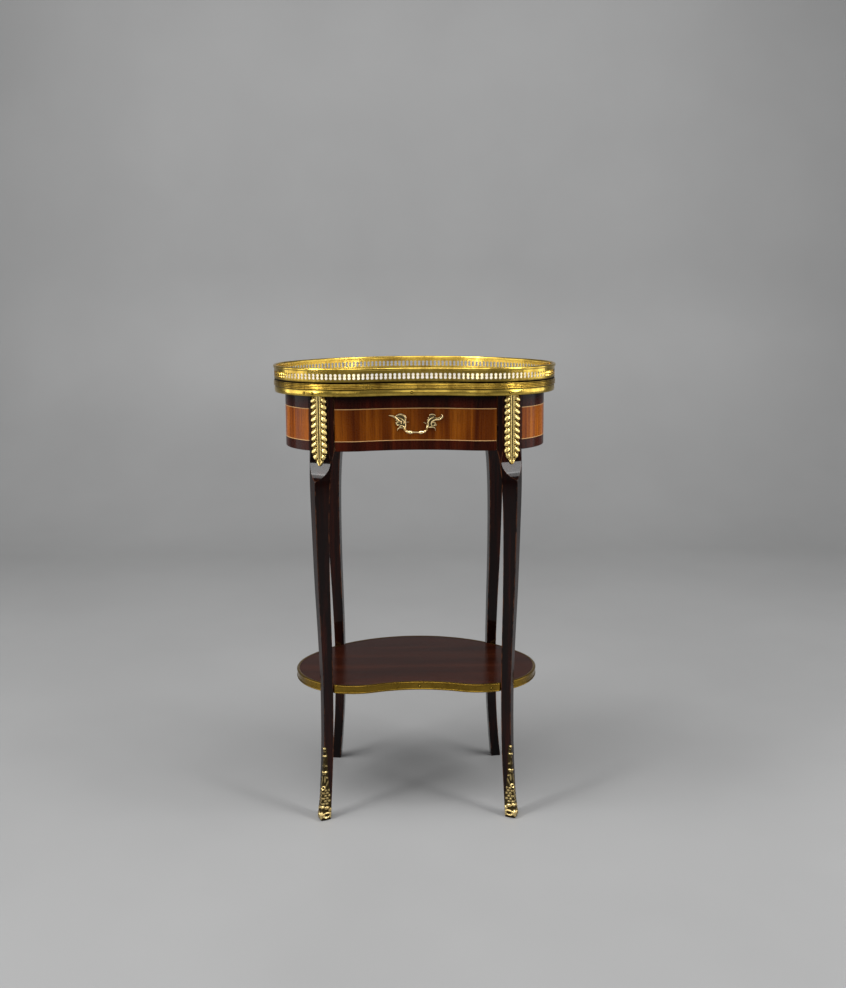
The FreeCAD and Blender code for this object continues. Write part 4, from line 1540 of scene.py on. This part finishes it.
@dataclass(frozen=True)
class SabotForm:
    """Sizes of a sabot, up from the floor: its half widths by height, and the lobes of its relief."""

    edge: tuple[Point, ...] = (
        (0.0, 8.0), (1.6, 11.0), (4.0, 12.8), (9.0, 12.6), (17.0, 11.2), (24.0, 10.4),
        (41.0, 8.6), (50.0, 7.4), (62.0, 6.0), (70.0, 5.0), (75.0, 5.6), (79.0, 4.6),
        (93.0, 4.0), (101.0, 4.3), (106.0, 3.4), (113.0, 3.4), (116.0, 1.6),
    )
    toe: tuple[Boss, ...] = (
        Boss(0.0, 8.4, wide=2.4, tall=5.6, rise=3.6),
        Boss(5.6, 8.0, wide=4.2, tall=4.6, rise=3.2, bore=0.5),
        Boss(9.4, 6.0, wide=2.0, tall=4.0, rise=2.6),
    )
    cuff: tuple[Boss, ...] = (
        Boss(0.0, 20.8, wide=2.6, tall=2.6, rise=3.0),
        Boss(4.6, 19.0, wide=2.4, tall=2.6, rise=2.6),
        Boss(8.2, 15.4, wide=2.2, tall=3.0, rise=2.2),
    )
    stalk: tuple[Boss, ...] = (
        Boss(0.0, 51.0, wide=3.0, tall=3.4, rise=2.8, bore=0.45),
        Boss(3.8, 57.0, wide=1.1, tall=7.0, rise=1.4, lean=-12.0),
        Boss(1.6, 64.0, wide=1.1, tall=7.0, rise=1.6),
        Boss(3.6, 66.5, wide=1.0, tall=2.4, rise=1.6, lean=40.0),
        Boss(0.0, 72.6, wide=3.6, tall=0.8, rise=1.5),
        Boss(1.9, 75.6, wide=2.0, tall=1.7, rise=2.6),
    )
    tip: tuple[Boss, ...] = (
        Boss(2.3, 85.5, wide=1.0, tall=2.2, rise=1.5, lean=40.0),
        Boss(0.9, 87.0, wide=1.0, tall=6.5, rise=1.2),
        Boss(0.0, 96.0, wide=1.1, tall=2.6, rise=1.2),
        Boss(1.4, 101.4, wide=1.5, tall=1.6, rise=2.3),
        Boss(1.1, 108.6, wide=1.2, tall=1.5, rise=1.3),
        Boss(0.0, 113.4, wide=2.2, tall=2.0, rise=2.2),
    )
    scale_rows: int = 6
    scale_foot: float = 25.5
    scale_pitch: float = 4.2
    rows: int = 220
    columns: int = 45

    @property
    def top(self) -> float:
        """Height of the tip."""
        return self.edge[-1][0]

    def bosses(self) -> list[Boss]:
        """All lobes, with the scales of the leaf in staggered rows.

        Returns:
            The lobes, alike on both sides.
        """
        bosses = [*self.toe, *self.cuff, *self.stalk, *self.tip]
        for row in range(self.scale_rows):
            for across in ((1.2, 4.4), (2.8, 6.2))[row % 2]:
                lift = self.scale_foot + self.scale_pitch * row
                bosses.append(Boss(across, lift, wide=1.7, tall=2.1, rise=1.7, lean=25.0))
        return bosses

    def half_width(self, height: float) -> float:
        """How far the edge lies from the middle line.

        Args:
            height: height over the floor.

        Returns:
            The distance.
        """
        index = max(step for step in range(len(self.edge) - 1) if self.edge[step][0] <= height)
        (low, first), (high, second) = self.edge[index], self.edge[index + 1]
        return first + (second - first) * (height - low) / (high - low)

    def swell(self, height: float) -> float:
        """How far the toe swells forward.

        Args:
            height: height over the floor.

        Returns:
            The swelling on the middle line.
        """
        rise, middle, half = 1.6, 7.0, 10.0
        return rise * math.sqrt(max(0.0, 1.0 - ((height - middle) / half) ** 2))


@dataclass
class Casting:
    """Rows of points of a thin casting on a leg: its face, its back and the dirt and painted shade on it."""

    post: Post
    front: list[list[Vector]] = field(default_factory=list)
    back: list[list[Vector]] = field(default_factory=list)
    wear: list[list[float]] = field(default_factory=list)

    def start_row(self) -> None:
        """Start the next row."""
        for grid in (self.front, self.back, self.wear):
            grid.append([])

    def add(self, aside: float, height: float, face: float, seat: float, dirt_and_shade: float) -> None:
        """Add a point of the face and the point behind it to the row.

        Args:
            aside: distance to the leg's own left.
            height: height over the floor.
            face: how far outward the face lies.
            seat: how far outward the back lies.
            dirt_and_shade: dirt and painted shade on the face.
        """
        self.front[-1].append(self.post.world(Vector((face, aside, height))))
        self.back[-1].append(self.post.world(Vector((seat, aside, height))))
        self.wear[-1].append(dirt_and_shade)

    def shape(self) -> Shape:
        """The closed casting.

        Returns:
            Its shape.
        """
        return shell(self.front, self.back, self.wear)


@dataclass
class Legs:
    """Four bent legs, with gilt chutes and sabots on the front ones.

    `bevels` are the corners of a section from which a narrow bevel runs, and `rubbed` is how far the rubbing
    of a corner spreads over a broad face.
    """

    finishes: Finishes
    form: LegForm = LegForm()
    chute: ChuteForm = ChuteForm()
    sabot: SabotForm = SabotForm()
    edge: float = 0.6
    arris: float = 0.5
    rubbed: float = 0.9
    bevels: tuple[int, ...] = (2, 4, 6)

    def build(self) -> None:
        """Make the legs and their mounts."""
        for post in POSTS.values():
            self.make_leg(post)
        for name in ("front_left", "front_right"):
            self.make_chute(POSTS[name])
            self.make_sabot(POSTS[name])

    def section(self, height: float) -> list[tuple[float, float, float]]:
        """Outline of the leg at a height, in its own frame.

        Args:
            height: the height.

        Returns:
            Eight corners with a rubbing of 1, and beside them two points without any on each broad face.
        """
        reach, half = self.form.at(height)
        edge = self.edge
        cut = min(self.form.flat(height), reach + half - self.arris)
        wide = reach + half - cut
        corners = [
            (cut, -wide), (cut, wide),
            (reach + edge, half - edge), (reach - edge, half - edge),
            (reach - half + edge, edge), (reach - half + edge, -edge),
            (reach - edge, edge - half), (reach + edge, edge - half),
        ]
        outline: list[tuple[float, float, float]] = []
        for index, (x, y) in enumerate(corners):
            outline.append((x, y, 1.0))
            if index in self.bevels:
                continue
            to_x, to_y = corners[(index + 1) % len(corners)]
            share = min(0.45, self.rubbed / max(math.hypot(to_x - x, to_y - y), 0.01))
            for part in (share, 1 - share):
                outline.append((x + (to_x - x) * part, y + (to_y - y) * part, 0.0))
        return outline

    def make_leg(self, post: Post) -> None:
        """One leg.

        Args:
            post: where it stands.
        """
        rings, scoop_rings, scoop_step = 100, 48, 0.8
        levels = {CASE_BOTTOM * step / rings for step in range(rings + 1)} | {CASE_TOP}
        levels |= {self.form.stop + 1.0 - scoop_step * step for step in range(scoop_rings)}
        shape = Shape()
        for level in sorted(levels):
            outline = self.section(level)
            for x, y, rubbing in outline:
                shape.add(post.world(Vector((x, y, level))), rubbing)
        shape.wrap(len(outline))
        make_piece(
            f"{post.name}_leg_bent", shape, self.finishes.legs, Body.TABLE,
            [f"{post.name}_leg"], sharp=25.0,
        )

    def make_chute(self, post: Post) -> None:
        """A chute: a double stem between beaded flanks, drooping leaf lobes down each edge and a pointed tip.

        Args:
            post: the leg that carries it.
        """
        form, bosses, casting = self.chute, self.chute.bosses(), Casting(post)
        length = form.high - form.low
        reach, tip_width, tip_rise = 5.0, 0.05, 0.45
        face_gap, back_gap = 0.2, 0.15
        for row in range(form.rows + 1):
            along = length * row / form.rows
            z = form.high - along
            taper = max(min(1.0, (z - form.low) / form.point) ** 0.7, tip_width)
            near = [boss for boss in bosses if abs(boss.along - along) < reach]
            edge = form.half_width(near, along)
            seat = self.form.flat(z)
            casting.start_row()
            for column in range(form.columns):
                side = 2 * column / (form.columns - 1) - 1
                across = abs(side) * edge
                carved, dirt_and_shade = carve(near, across, along, form.stem(across))
                rise = (form.plate + carved) * (tip_rise + (1 - tip_rise) * taper)
                # Dirt and painted shade in the valleys between lobes, and along the middle line between the
                # stems.
                dirt_and_shade = max(dirt_and_shade, 1.0 - across / form.groove)
                casting.add(side * edge * taper, z, seat + face_gap + rise, seat + back_gap, dirt_and_shade)
        make_piece(
            f"{post.name}_chute_leaf", casting.shape(), self.finishes.gilt, Body.TABLE,
            [f"{post.name}_chute"], sharp=70.0,
        )

    def make_sabot(self, post: Post) -> None:
        """A tall leaf shoe on the outer arris: scrolled toe, cuff, scaled leaf, ringed stalk and beaded tip.

        Args:
            post: the leg that carries it.
        """
        form, bosses, casting = self.sabot, self.sabot.bosses(), Casting(post)
        boss_reach, plate, back_gap, squeeze = 8.0, 0.5, 0.25, 0.78
        for row in range(form.rows + 1):
            z = form.top * row / form.rows
            reach, half = self.form.at(z)
            width = min(form.half_width(z), half)
            near = [boss for boss in bosses if abs(boss.along - z) < boss_reach]
            swell = form.swell(z)
            rounding = min(1.0, math.sqrt((z + 0.3) / 4.0))
            casting.start_row()
            for column in range(form.columns):
                side = 2 * column / (form.columns - 1) - 1
                y = side * width
                # Dirt and painted shade in the valleys of the relief and where it lies low.
                carved, dirt_and_shade = carve(near, squeeze * abs(y), z)
                rise = plate + carved + swell * (1 - side**2)
                rise *= (1 - 0.5 * abs(side) ** 8) * rounding
                face = reach + half - math.sqrt(y**2 + 1.0) + rise
                casting.add(y, z, face, reach + half - abs(y) + back_gap, 0.95 * dirt_and_shade)
        make_piece(
            f"{post.name}_sabot_leaf", casting.shape(), self.finishes.shoes, Body.TABLE,
            [f"{post.name}_sabot"], sharp=70.0,
        )


# The shelf

@dataclass
class ShelfEdge:
    """Brass edging of the lower shelf in four lengths between the legs."""

    finishes: Finishes
    top: float = 213.5
    thickness: float = 13.0
    spacing: float = 4.0

    def build(self) -> None:
        """Make the four lengths."""
        low, high = self.top - self.thickness, self.top
        flat, back, lip = 1.1, 3.2, 4.4
        bead, step = 2.6, 0.4
        profile = [
            (back, low),
            *bulge((flat, low), (flat, low + bead), 1.0, 6),
            (flat, low + bead), (flat, low + bead + step), (flat, high - bead - step),
            *bulge((flat, high - bead), (flat, high), 1.0, 6),
            (flat, high),
            *bulge((flat + step, high), (lip, high), 0.6, 6),
            (lip, high), (lip, high - 0.5), (back, high - 0.6),
        ]
        seams = (low + bead, high - bead)
        # Dirt and painted shade: strong in the seams beside the beads, half as much on the lip.
        wear = [0.9 if inset == flat and z in seams else 0.5 if inset == lip else 0.0 for inset, z in profile]
        leg_reach, leg_half = -1.5, 12.2
        for name, first, second in (
            ("front_edging", "front_left", "front_right"),
            ("right_edging", "front_right", "back_right"),
            ("back_edging", "back_right", "back_left"),
            ("left_edging", "back_left", "front_left"),
        ):
            start, end = clear_stretch(SHELF, first, second, leg_reach, leg_half)
            shape = sweep(SHELF.stretch(start, end, self.spacing), profile, False, wear)
            finish = self.finishes.edging
            make_piece(f"{name}_brass", shape, finish, Body.TABLE, [name], sharp=50.0)


# The pull

# A point of a raised stroke: its x and height from the middle of the pull, its half width and its relief
StrokePoint = tuple[float, float, float, float]
# Spear tip with its stem, crest, inner leaf, scrolls, bud, flank, rib, spur and thorn
LEFT_STROKES = (
    ((-40.8, 11.8, 0.3, 0.8), (-35.5, 10.8, 1.3, 1.8), (-30.2, 8.0, 1.5, 2.4), (-25.6, 4.0, 1.3, 2.6),
     (-21.5, 0.6, 1.0, 2.2)),
    ((-31.0, 9.6, 0.6, 1.4), (-27.4, 12.0, 1.1, 2.0), (-23.0, 13.2, 1.4, 2.6), (-18.4, 11.6, 1.5, 2.9),
     (-15.4, 8.4, 1.5, 3.1), (-15.4, 4.0, 1.4, 3.2), (-16.8, 0.2, 1.2, 3.0)),
    ((-28.4, 9.0, 0.5, 1.4), (-24.4, 7.6, 0.9, 2.2), (-20.0, 5.2, 1.0, 2.6), (-17.8, 2.0, 1.0, 2.8),
     (-18.2, -1.8, 0.9, 2.6)),
    ((-22.6, 4.2, 0.5, 1.4), (-21.0, 2.0, 0.8, 2.0), (-21.6, -0.8, 0.7, 1.8), (-23.6, -1.4, 0.4, 1.2)),
    ((-24.4, -2.4, 0.8, 1.8), (-27.4, -3.0, 1.0, 2.2), (-29.2, -0.8, 1.1, 2.4), (-27.6, 1.6, 1.0, 2.2),
     (-24.8, 1.2, 0.6, 1.6)),
    ((-29.8, 3.6, 0.9, 1.8), (-28.4, 4.6, 1.0, 2.2), (-27.2, 5.8, 0.5, 1.4)),
    ((-24.8, -5.2, 0.6, 1.6), (-21.0, -4.2, 1.2, 2.6), (-17.2, -6.4, 1.4, 3.0), (-15.4, -9.6, 1.6, 3.6)),
    ((-15.6, 0.8, 1.0, 2.6), (-15.0, -4.0, 1.2, 3.0), (-16.2, -8.0, 1.3, 3.2)),
    ((-28.0, -12.0, 0.2, 0.7), (-26.6, -8.8, 0.8, 1.5), (-23.4, -7.2, 0.9, 1.8), (-18.0, -8.0, 0.8, 1.8)),
    ((-15.0, 1.0, 0.7, 1.6), (-12.2, 1.2, 0.5, 1.2), (-9.8, 1.2, 0.2, 0.7)),
)
# Curled tip and its inner edge, crest, inner leaf, two beads, ring scroll, spur, two thorns and rib
RIGHT_STROKES = (
    ((39.0, 13.0, 0.4, 1.0), (40.6, 10.6, 0.9, 1.9), (39.2, 7.2, 1.2, 2.4), (35.4, 5.0, 1.3, 2.7),
     (30.4, 4.6, 1.3, 2.8), (25.8, 2.6, 1.3, 2.9), (23.2, -0.4, 1.0, 2.5)),
    ((37.4, 10.4, 0.3, 1.0), (36.4, 8.2, 0.7, 1.7), (33.0, 7.0, 0.8, 2.0), (29.6, 7.2, 0.4, 1.3)),
    ((30.0, 10.4, 0.5, 1.4), (28.4, 12.0, 0.9, 2.0), (24.6, 13.0, 1.1, 2.4), (21.0, 11.6, 0.9, 2.0)),
    ((28.0, 9.4, 0.5, 1.4), (24.4, 7.2, 1.0, 2.4), (20.8, 4.6, 1.2, 2.8), (18.6, 0.6, 1.3, 3.1),
     (18.8, -3.6, 1.3, 3.2), (16.6, -8.6, 1.5, 3.5)),
    ((18.6, 8.2, 0.7, 1.7), (19.4, 7.4, 0.9, 2.0), (20.6, 7.6, 0.5, 1.4)),
    ((17.4, 4.8, 0.7, 1.7), (18.2, 4.0, 0.9, 2.0), (19.4, 4.4, 0.5, 1.4)),
    ((25.0, -4.4, 0.7, 1.8), (23.4, -2.0, 0.9, 2.2), (25.8, 0.8, 1.0, 2.4), (29.2, -0.2, 1.0, 2.4),
     (29.6, -3.2, 0.9, 2.2), (27.2, -4.6, 0.7, 1.8)),
    ((16.4, -6.0, 0.8, 2.0), (20.0, -6.8, 1.1, 2.5), (24.6, -6.6, 1.2, 2.4), (28.6, -7.6, 0.9, 1.9),
     (30.2, -12.6, 0.2, 0.7)),
    ((29.4, -4.6, 0.7, 1.6), (31.4, -3.8, 0.5, 1.2), (31.8, -1.6, 0.2, 0.7)),
    ((15.8, -1.4, 0.7, 1.6), (14.0, -0.4, 0.5, 1.2), (12.0, 0.4, 0.2, 0.7)),
    ((16.6, -10.6, 1.4, 3.4), (17.0, -6.6, 1.3, 3.2), (17.6, -3.0, 1.2, 3.0)),
)
LEFT_GROUND = (
    (-33.5, 9.6), (-27.0, 11.0), (-22.5, 12.2), (-18.0, 10.8), (-15.6, 7.0), (-15.6, -7.0), (-20.0, -6.0),
    (-25.5, -4.6), (-28.0, -2.0), (-28.2, 1.4), (-27.6, 4.6), (-30.6, 7.4),
)
RIGHT_GROUND = (
    (34.6, 6.4), (29.0, 8.8), (25.6, 11.8), (21.6, 11.0), (19.4, 6.0), (17.8, 1.0), (17.6, -6.8),
    (23.0, -6.6), (28.4, -5.6), (29.4, -1.6), (27.0, 1.6), (30.8, 3.8),
)


@dataclass
class Pull:
    """Cast pull: two leafy scrolls joined by a bar with two knops."""

    finishes: Finishes
    height: float = 625.0

    def face(self, x: float) -> float:
        """Where the hollow drawer front lies at a distance from the middle.

        Args:
            x: distance to the right of the middle.

        Returns:
            Its place along Y.
        """
        run = TOP.inset(APRON_OUT).runs()[2]
        return run.centre.y + math.sqrt(run.radius**2 - x**2)

    def smooth(self, route: Sequence[StrokePoint], steps: int = 6) -> list[StrokePoint]:
        """Lay a smooth curve through the points of a route.

        Args:
            route: the points.
            steps: number of points for each of them.

        Returns:
            The finer route.
        """
        fine: list[StrokePoint] = []
        for index in range(len(route) - 1):
            before, here = route[max(index - 1, 0)], route[index]
            there, after = route[index + 1], route[min(index + 2, len(route) - 1)]
            for step in range(steps):
                share = step / steps
                values = []
                for a, b, c, d in zip(before, here, there, after):
                    bend = (2 * a - 5 * b + 4 * c - d) * share**2 + (3 * b - a - 3 * c + d) * share**3
                    values.append(0.5 * (2 * b + (c - a) * share + bend))
                fine.append(tuple(values))
        fine.append(route[-1])
        return fine

    def stroke(self, route: Sequence[StrokePoint]) -> Shape:
        """A half-round raised stroke on the drawer front.

        Args:
            route: its points.

        Returns:
            The closed shape.
        """
        fine, rounds = self.smooth(route), 8
        thinnest, lowest = 0.22, 0.2
        shape = Shape()
        for index, (x, z, half, rise) in enumerate(fine):
            last, following = fine[max(index - 1, 0)], fine[min(index + 1, len(fine) - 1)]
            along = Vector((following[0] - last[0], following[1] - last[1])).normalized()
            across = Vector((-along.y, along.x))
            for step in range(rounds + 1):
                angle = math.pi * step / rounds
                spot = Vector((x, z)) + across * (1.08 * max(half, thinnest) * math.cos(angle))
                lift = 0.3 + 1.15 * max(rise, lowest) * math.sin(angle)
                point = Vector((spot.x, self.face(spot.x) - lift, self.height + spot.y))
                # The flanks of a stroke are darkened by dirt and painted shade.
                shape.add(point, abs(math.cos(angle)) ** 4)
        shape.wrap(rounds + 1)
        return shape

    def bar(self) -> Shape:
        """The bar that stands clear of the front, with two knops and a thin middle.

        Returns:
            The closed shape.
        """
        route: list[tuple[Vector, float]] = []
        count, span, reach, thin, drop = 60, 17.0, 13.0, 1.1, 13.2
        for step in range(count + 1):
            x = span * (2 * step / count - 1)
            share = abs(x) / span
            out = reach * (1 - share**8) ** 0.5
            knop = 1.5 * math.exp(-(((abs(x) - 8.0) / 2.9) ** 4))
            collar = 0.8 * math.exp(-(((abs(x) - 13.0) / 1.1) ** 2))
            thick = thin + 0.9 * share**2 + (knop + collar)
            height = self.height - drop + 3.6 * share**4
            route.append((Vector((x, self.face(x) - 0.5 - out, height)), thick))
        rounds = 14
        shape = Shape()
        upward = Vector((0.0, 0.0, 1.0))
        for index, (spot, radius) in enumerate(route):
            ahead = (route[min(index + 1, count)][0] - route[max(index - 1, 0)][0]).normalized()
            aside = ahead.cross(upward).normalized()
            for step in range(rounds):
                angle = 2 * math.pi * step / rounds
                point = spot + (aside * math.cos(angle) + upward * math.sin(angle)) * radius
                shape.add(point, max(0.0, 0.5 - 0.7 * (radius - thin)))
        shape.wrap(rounds)
        return shape

    def ground(self, outline: Profile) -> Shape:
        """The thin ground from which a leafy end rises, darkened by dirt and painted shade.

        Args:
            outline: its corners as x and height over the pull's middle.

        Returns:
            The closed shape.
        """
        shape = Shape()
        for lift in (0.2, 0.9):
            for x, z in outline:
                # Dirt and painted shade on the ground between the strokes.
                shape.add(Vector((x, self.face(x) - lift, self.height + z)), 0.85)
        shape.wrap(len(outline))
        return shape

    def build(self) -> None:
        """Make the pull."""
        routes = (*LEFT_STROKES, *RIGHT_STROKES)
        shapes = [self.stroke(route) for route in routes]
        shapes += [self.ground(LEFT_GROUND), self.ground(RIGHT_GROUND), self.bar()]
        make_piece(
            "drawer_pull_cast", joined(shapes), self.finishes.pull, Body.DRAWER, ["drawer_pull"],
            sharp=70.0,
        )


# Nails

class NailRow(NamedTuple):
    """Nails of one band: on the front by their x, and on the rest by the share of the way round."""

    name: str
    plan: Kidney
    height: float
    front: tuple[float, ...]
    shares: tuple[float, ...]


@dataclass
class Nails:
    """Small round-headed brass nails in the bands, each with a ring of dirt and painted shade round its head.
    """

    finishes: Finishes
    scatter: Scatter
    radius: float = 1.5
    dome: float = 0.7
    ring: float = 2.3

    def head(self) -> Shape:
        """A low dome that looks towards -Y.

        Returns:
            The closed shape.
        """
        rounds, rings = 12, 4
        angles = [2 * math.pi * step / rounds for step in range(rounds)]
        shape = Shape()
        shape.add(Vector((0.0, -self.dome, 0.0)))
        for ring in range(1, rings + 1):
            share = ring / rings
            flat = self.radius * math.sin(share * math.pi / 2)
            lift = self.dome * math.cos(share * math.pi / 2)
            for angle in angles:
                # The head darkens towards its edge and the flat ring round it is dark: dirt and painted
                # shade.
                shape.add(Vector((flat * math.cos(angle), -lift, flat * math.sin(angle))), share**3)
        for angle in angles:
            shape.add(Vector((self.ring * math.cos(angle), 0.0, self.ring * math.sin(angle))), 1.0)
        for step in range(rounds):
            following = (step + 1) % rounds
            shape.faces.append((0, 1 + step, 1 + following))
            for ring in range(rings):
                here, there = 1 + ring * rounds, 1 + (ring + 1) * rounds
                shape.faces.append((here + step, there + step, there + following, here + following))
        shape.faces.append(tuple(1 + rings * rounds + step for step in range(rounds)))
        return shape

    def build(self) -> None:
        """Drive the nails of the plain band and of the shelf's edging."""
        band, edging = TOP.inset(1.5), SHELF.inset(1.0)
        band_middle, edging_middle = (CASE_TOP + BOARD_TOP) / 2, 207.0
        front_edge = -TOP.depth / 2
        for row in (
            NailRow(
                "band_nails", band, band_middle,
                front=(-179.4, -160.0, -5.4, 143.4), shares=(0.09, 0.18, 0.82, 0.91),
            ),
            NailRow(
                "shelf_nails", edging, edging_middle,
                front=(-171.6, 3.0, 120.0, 177.8), shares=(0.05, 0.19, 0.81, 0.95),
            ),
        ):
            places = [row.plan.nearest(Vector((x, front_edge))) for x in row.front]
            places += [row.plan.length * share for share in row.shares]
            stations = [row.plan.station(place) for place in places]
            piece = self.scatter.lay(row.name, self.head(), stations, row.height, self.finishes.reeds)
            settle(piece, Body.TABLE)


def paint_solids(finishes: Finishes) -> None:
    """Give the solids that stay in view their materials.

    Args:
        finishes: the materials.
    """
    carcase = (
        "top_board", "front_rail", "left_runner", "right_runner", "glue_blocks", "apron_tenons",
        "drawer_left_side", "drawer_right_side", "drawer_back", "drawer_bottom",
    )
    coats = {"marble_top": finishes.marble, "shelf_board": finishes.shelf}
    coats.update({name: finishes.carcase for name in carcase})
    for name, coat in coats.items():
        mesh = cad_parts[name].data
        mesh.materials.clear()
        mesh.materials.append(coat)
        log.info("%s: painted %s", name, coat.name)


# Floor, light and camera

@dataclass(frozen=True)
class Lamp:
    """A rectangular soft light that looks at the table."""

    name: str
    place: Place
    wide: float
    tall: float
    power: float
    upright: Place = (0.0, 0.0, 1.0)
    aim: Place = (0.0, 0.0, 0.55)

    def hang(self) -> None:
        """Make the light and put it in its place, its tall side along its upright."""
        data = bpy.data.lights.new(self.name, "AREA")
        data.energy = self.power
        data.shape = "RECTANGLE"
        data.size = self.wide
        data.size_y = self.tall
        light = bpy.data.objects.new(self.name, data)
        light.location = self.place
        behind = (Vector(self.place) - Vector(self.aim)).normalized()
        aside = Vector(self.upright).cross(behind).normalized()
        light.rotation_euler = Matrix((aside, behind.cross(aside), behind)).transposed().to_euler()
        bpy.context.scene.collection.objects.link(light)


@dataclass
class Studio:
    """Pale floor with a backdrop, soft lights and the camera."""

    finishes: Finishes
    eye: Place = (-0.02161, -1.77164, 0.82818)
    pitch: float = 8.425
    roll: float = -0.292
    turn: float = -1.128
    focal_pixels: float = 1100.0
    picture: tuple[int, int] = (846, 988)
    principal_row: float = 450.0

    def build(self) -> None:
        """Make the floor, the lights and the camera."""
        self.make_floor()
        self.make_lights()
        self.make_camera()

    def make_floor(self) -> None:
        """A floor that curves up into a backdrop."""
        front, bend, radius, top, half = -4.0, 1.6, 0.9, 3.5, 4.5
        outline = [(front, 0.0), (bend, 0.0)]
        steps = 12
        for step in range(1, steps + 1):
            angle = step / steps * math.pi / 2
            outline.append((bend + radius * math.sin(angle), radius - radius * math.cos(angle)))
        outline.append((bend + radius, top))
        points = [Vector((side, y, z)) for y, z in outline for side in (-half, half)]
        faces = [(2 * step, 2 * step + 1, 2 * step + 3, 2 * step + 2) for step in range(len(outline) - 1)]
        mesh = bpy.data.meshes.new("floor")
        mesh.from_pydata(points, [], faces)
        mesh.shade_smooth()
        mesh.materials.append(self.finishes.floor)
        floor = bpy.data.objects.new("floor", mesh)
        bpy.context.scene.collection.objects.link(floor)

    def make_lights(self) -> None:
        """Soft boxes all round, leaning strips that shine in the front legs' scoops, and a dim surround."""
        world = bpy.data.worlds.new("surround")
        world.use_nodes = True
        surround = world.node_tree.nodes["Background"]
        surround.inputs["Color"].default_value = (0.87, 0.89, 0.90, 1.0)
        surround.inputs["Strength"].default_value = 0.20
        bpy.context.scene.world = world
        left_lean, right_lean = (0.245, 0.998, 2.625), (-0.270, 0.980, 2.625)
        for lamp in (
            Lamp("overhead", (-0.2, -0.7, 2.7), wide=1.5, tall=1.5, power=32.0, upright=(0.0, 1.0, 0.0)),
            Lamp("front_box", (-0.3, -3.2, 1.7), wide=2.0, tall=2.0, power=12.0),
            Lamp("left_strip", (-1.878, -1.172, 2.256), wide=0.45, tall=3.8, power=74.0, upright=left_lean),
            Lamp("right_strip", (1.904, -1.138, 2.256), wide=0.45, tall=3.8, power=69.0, upright=right_lean),
            Lamp("left_crown", (-1.49, -0.245, 2.67), wide=0.9, tall=0.8, power=11.0),
            Lamp("right_crown", (1.49, -0.245, 2.67), wide=0.9, tall=0.8, power=11.0),
            Lamp("left_box", (-2.3, -0.15, 0.8), wide=1.8, tall=1.4, power=16.0),
            Lamp("right_box", (2.3, -0.15, 0.8), wide=1.8, tall=1.4, power=14.0),
        ):
            lamp.hang()

    def make_camera(self) -> None:
        """The camera at the photograph's angle."""
        data = bpy.data.cameras.new("camera")
        wide, high = self.picture
        data.sensor_fit = "AUTO"
        data.sensor_width = 36.0
        data.lens = self.focal_pixels * data.sensor_width / max(wide, high)
        data.shift_y = (self.principal_row - high / 2) / max(wide, high)
        camera = bpy.data.objects.new("camera", data)
        camera.location = self.eye
        heading = Matrix.Rotation(math.radians(self.turn), 3, "Z")
        tilt = Matrix.Rotation(math.radians(90 - self.pitch), 3, "X")
        lean = Matrix.Rotation(math.radians(self.roll), 3, "Z")
        camera.rotation_euler = (heading @ tilt @ lean).to_euler()
        bpy.context.scene.collection.objects.link(camera)
        bpy.context.scene.camera = camera
        bpy.context.scene.view_settings.view_transform = "Standard"


def main() -> None:
    """Build the whole scene."""
    logging.basicConfig(level=logging.INFO, format="%(message)s")
    finishes = Finishes()
    scatter = Scatter(scatter_tree())
    TopEdge(finishes, scatter).build()
    Case(finishes).build()
    Legs(finishes).build()
    ShelfEdge(finishes).build()
    Pull(finishes).build()
    Nails(finishes, scatter).build()
    paint_solids(finishes)
    Studio(finishes).build()


if __name__ == "__main__":
    main()
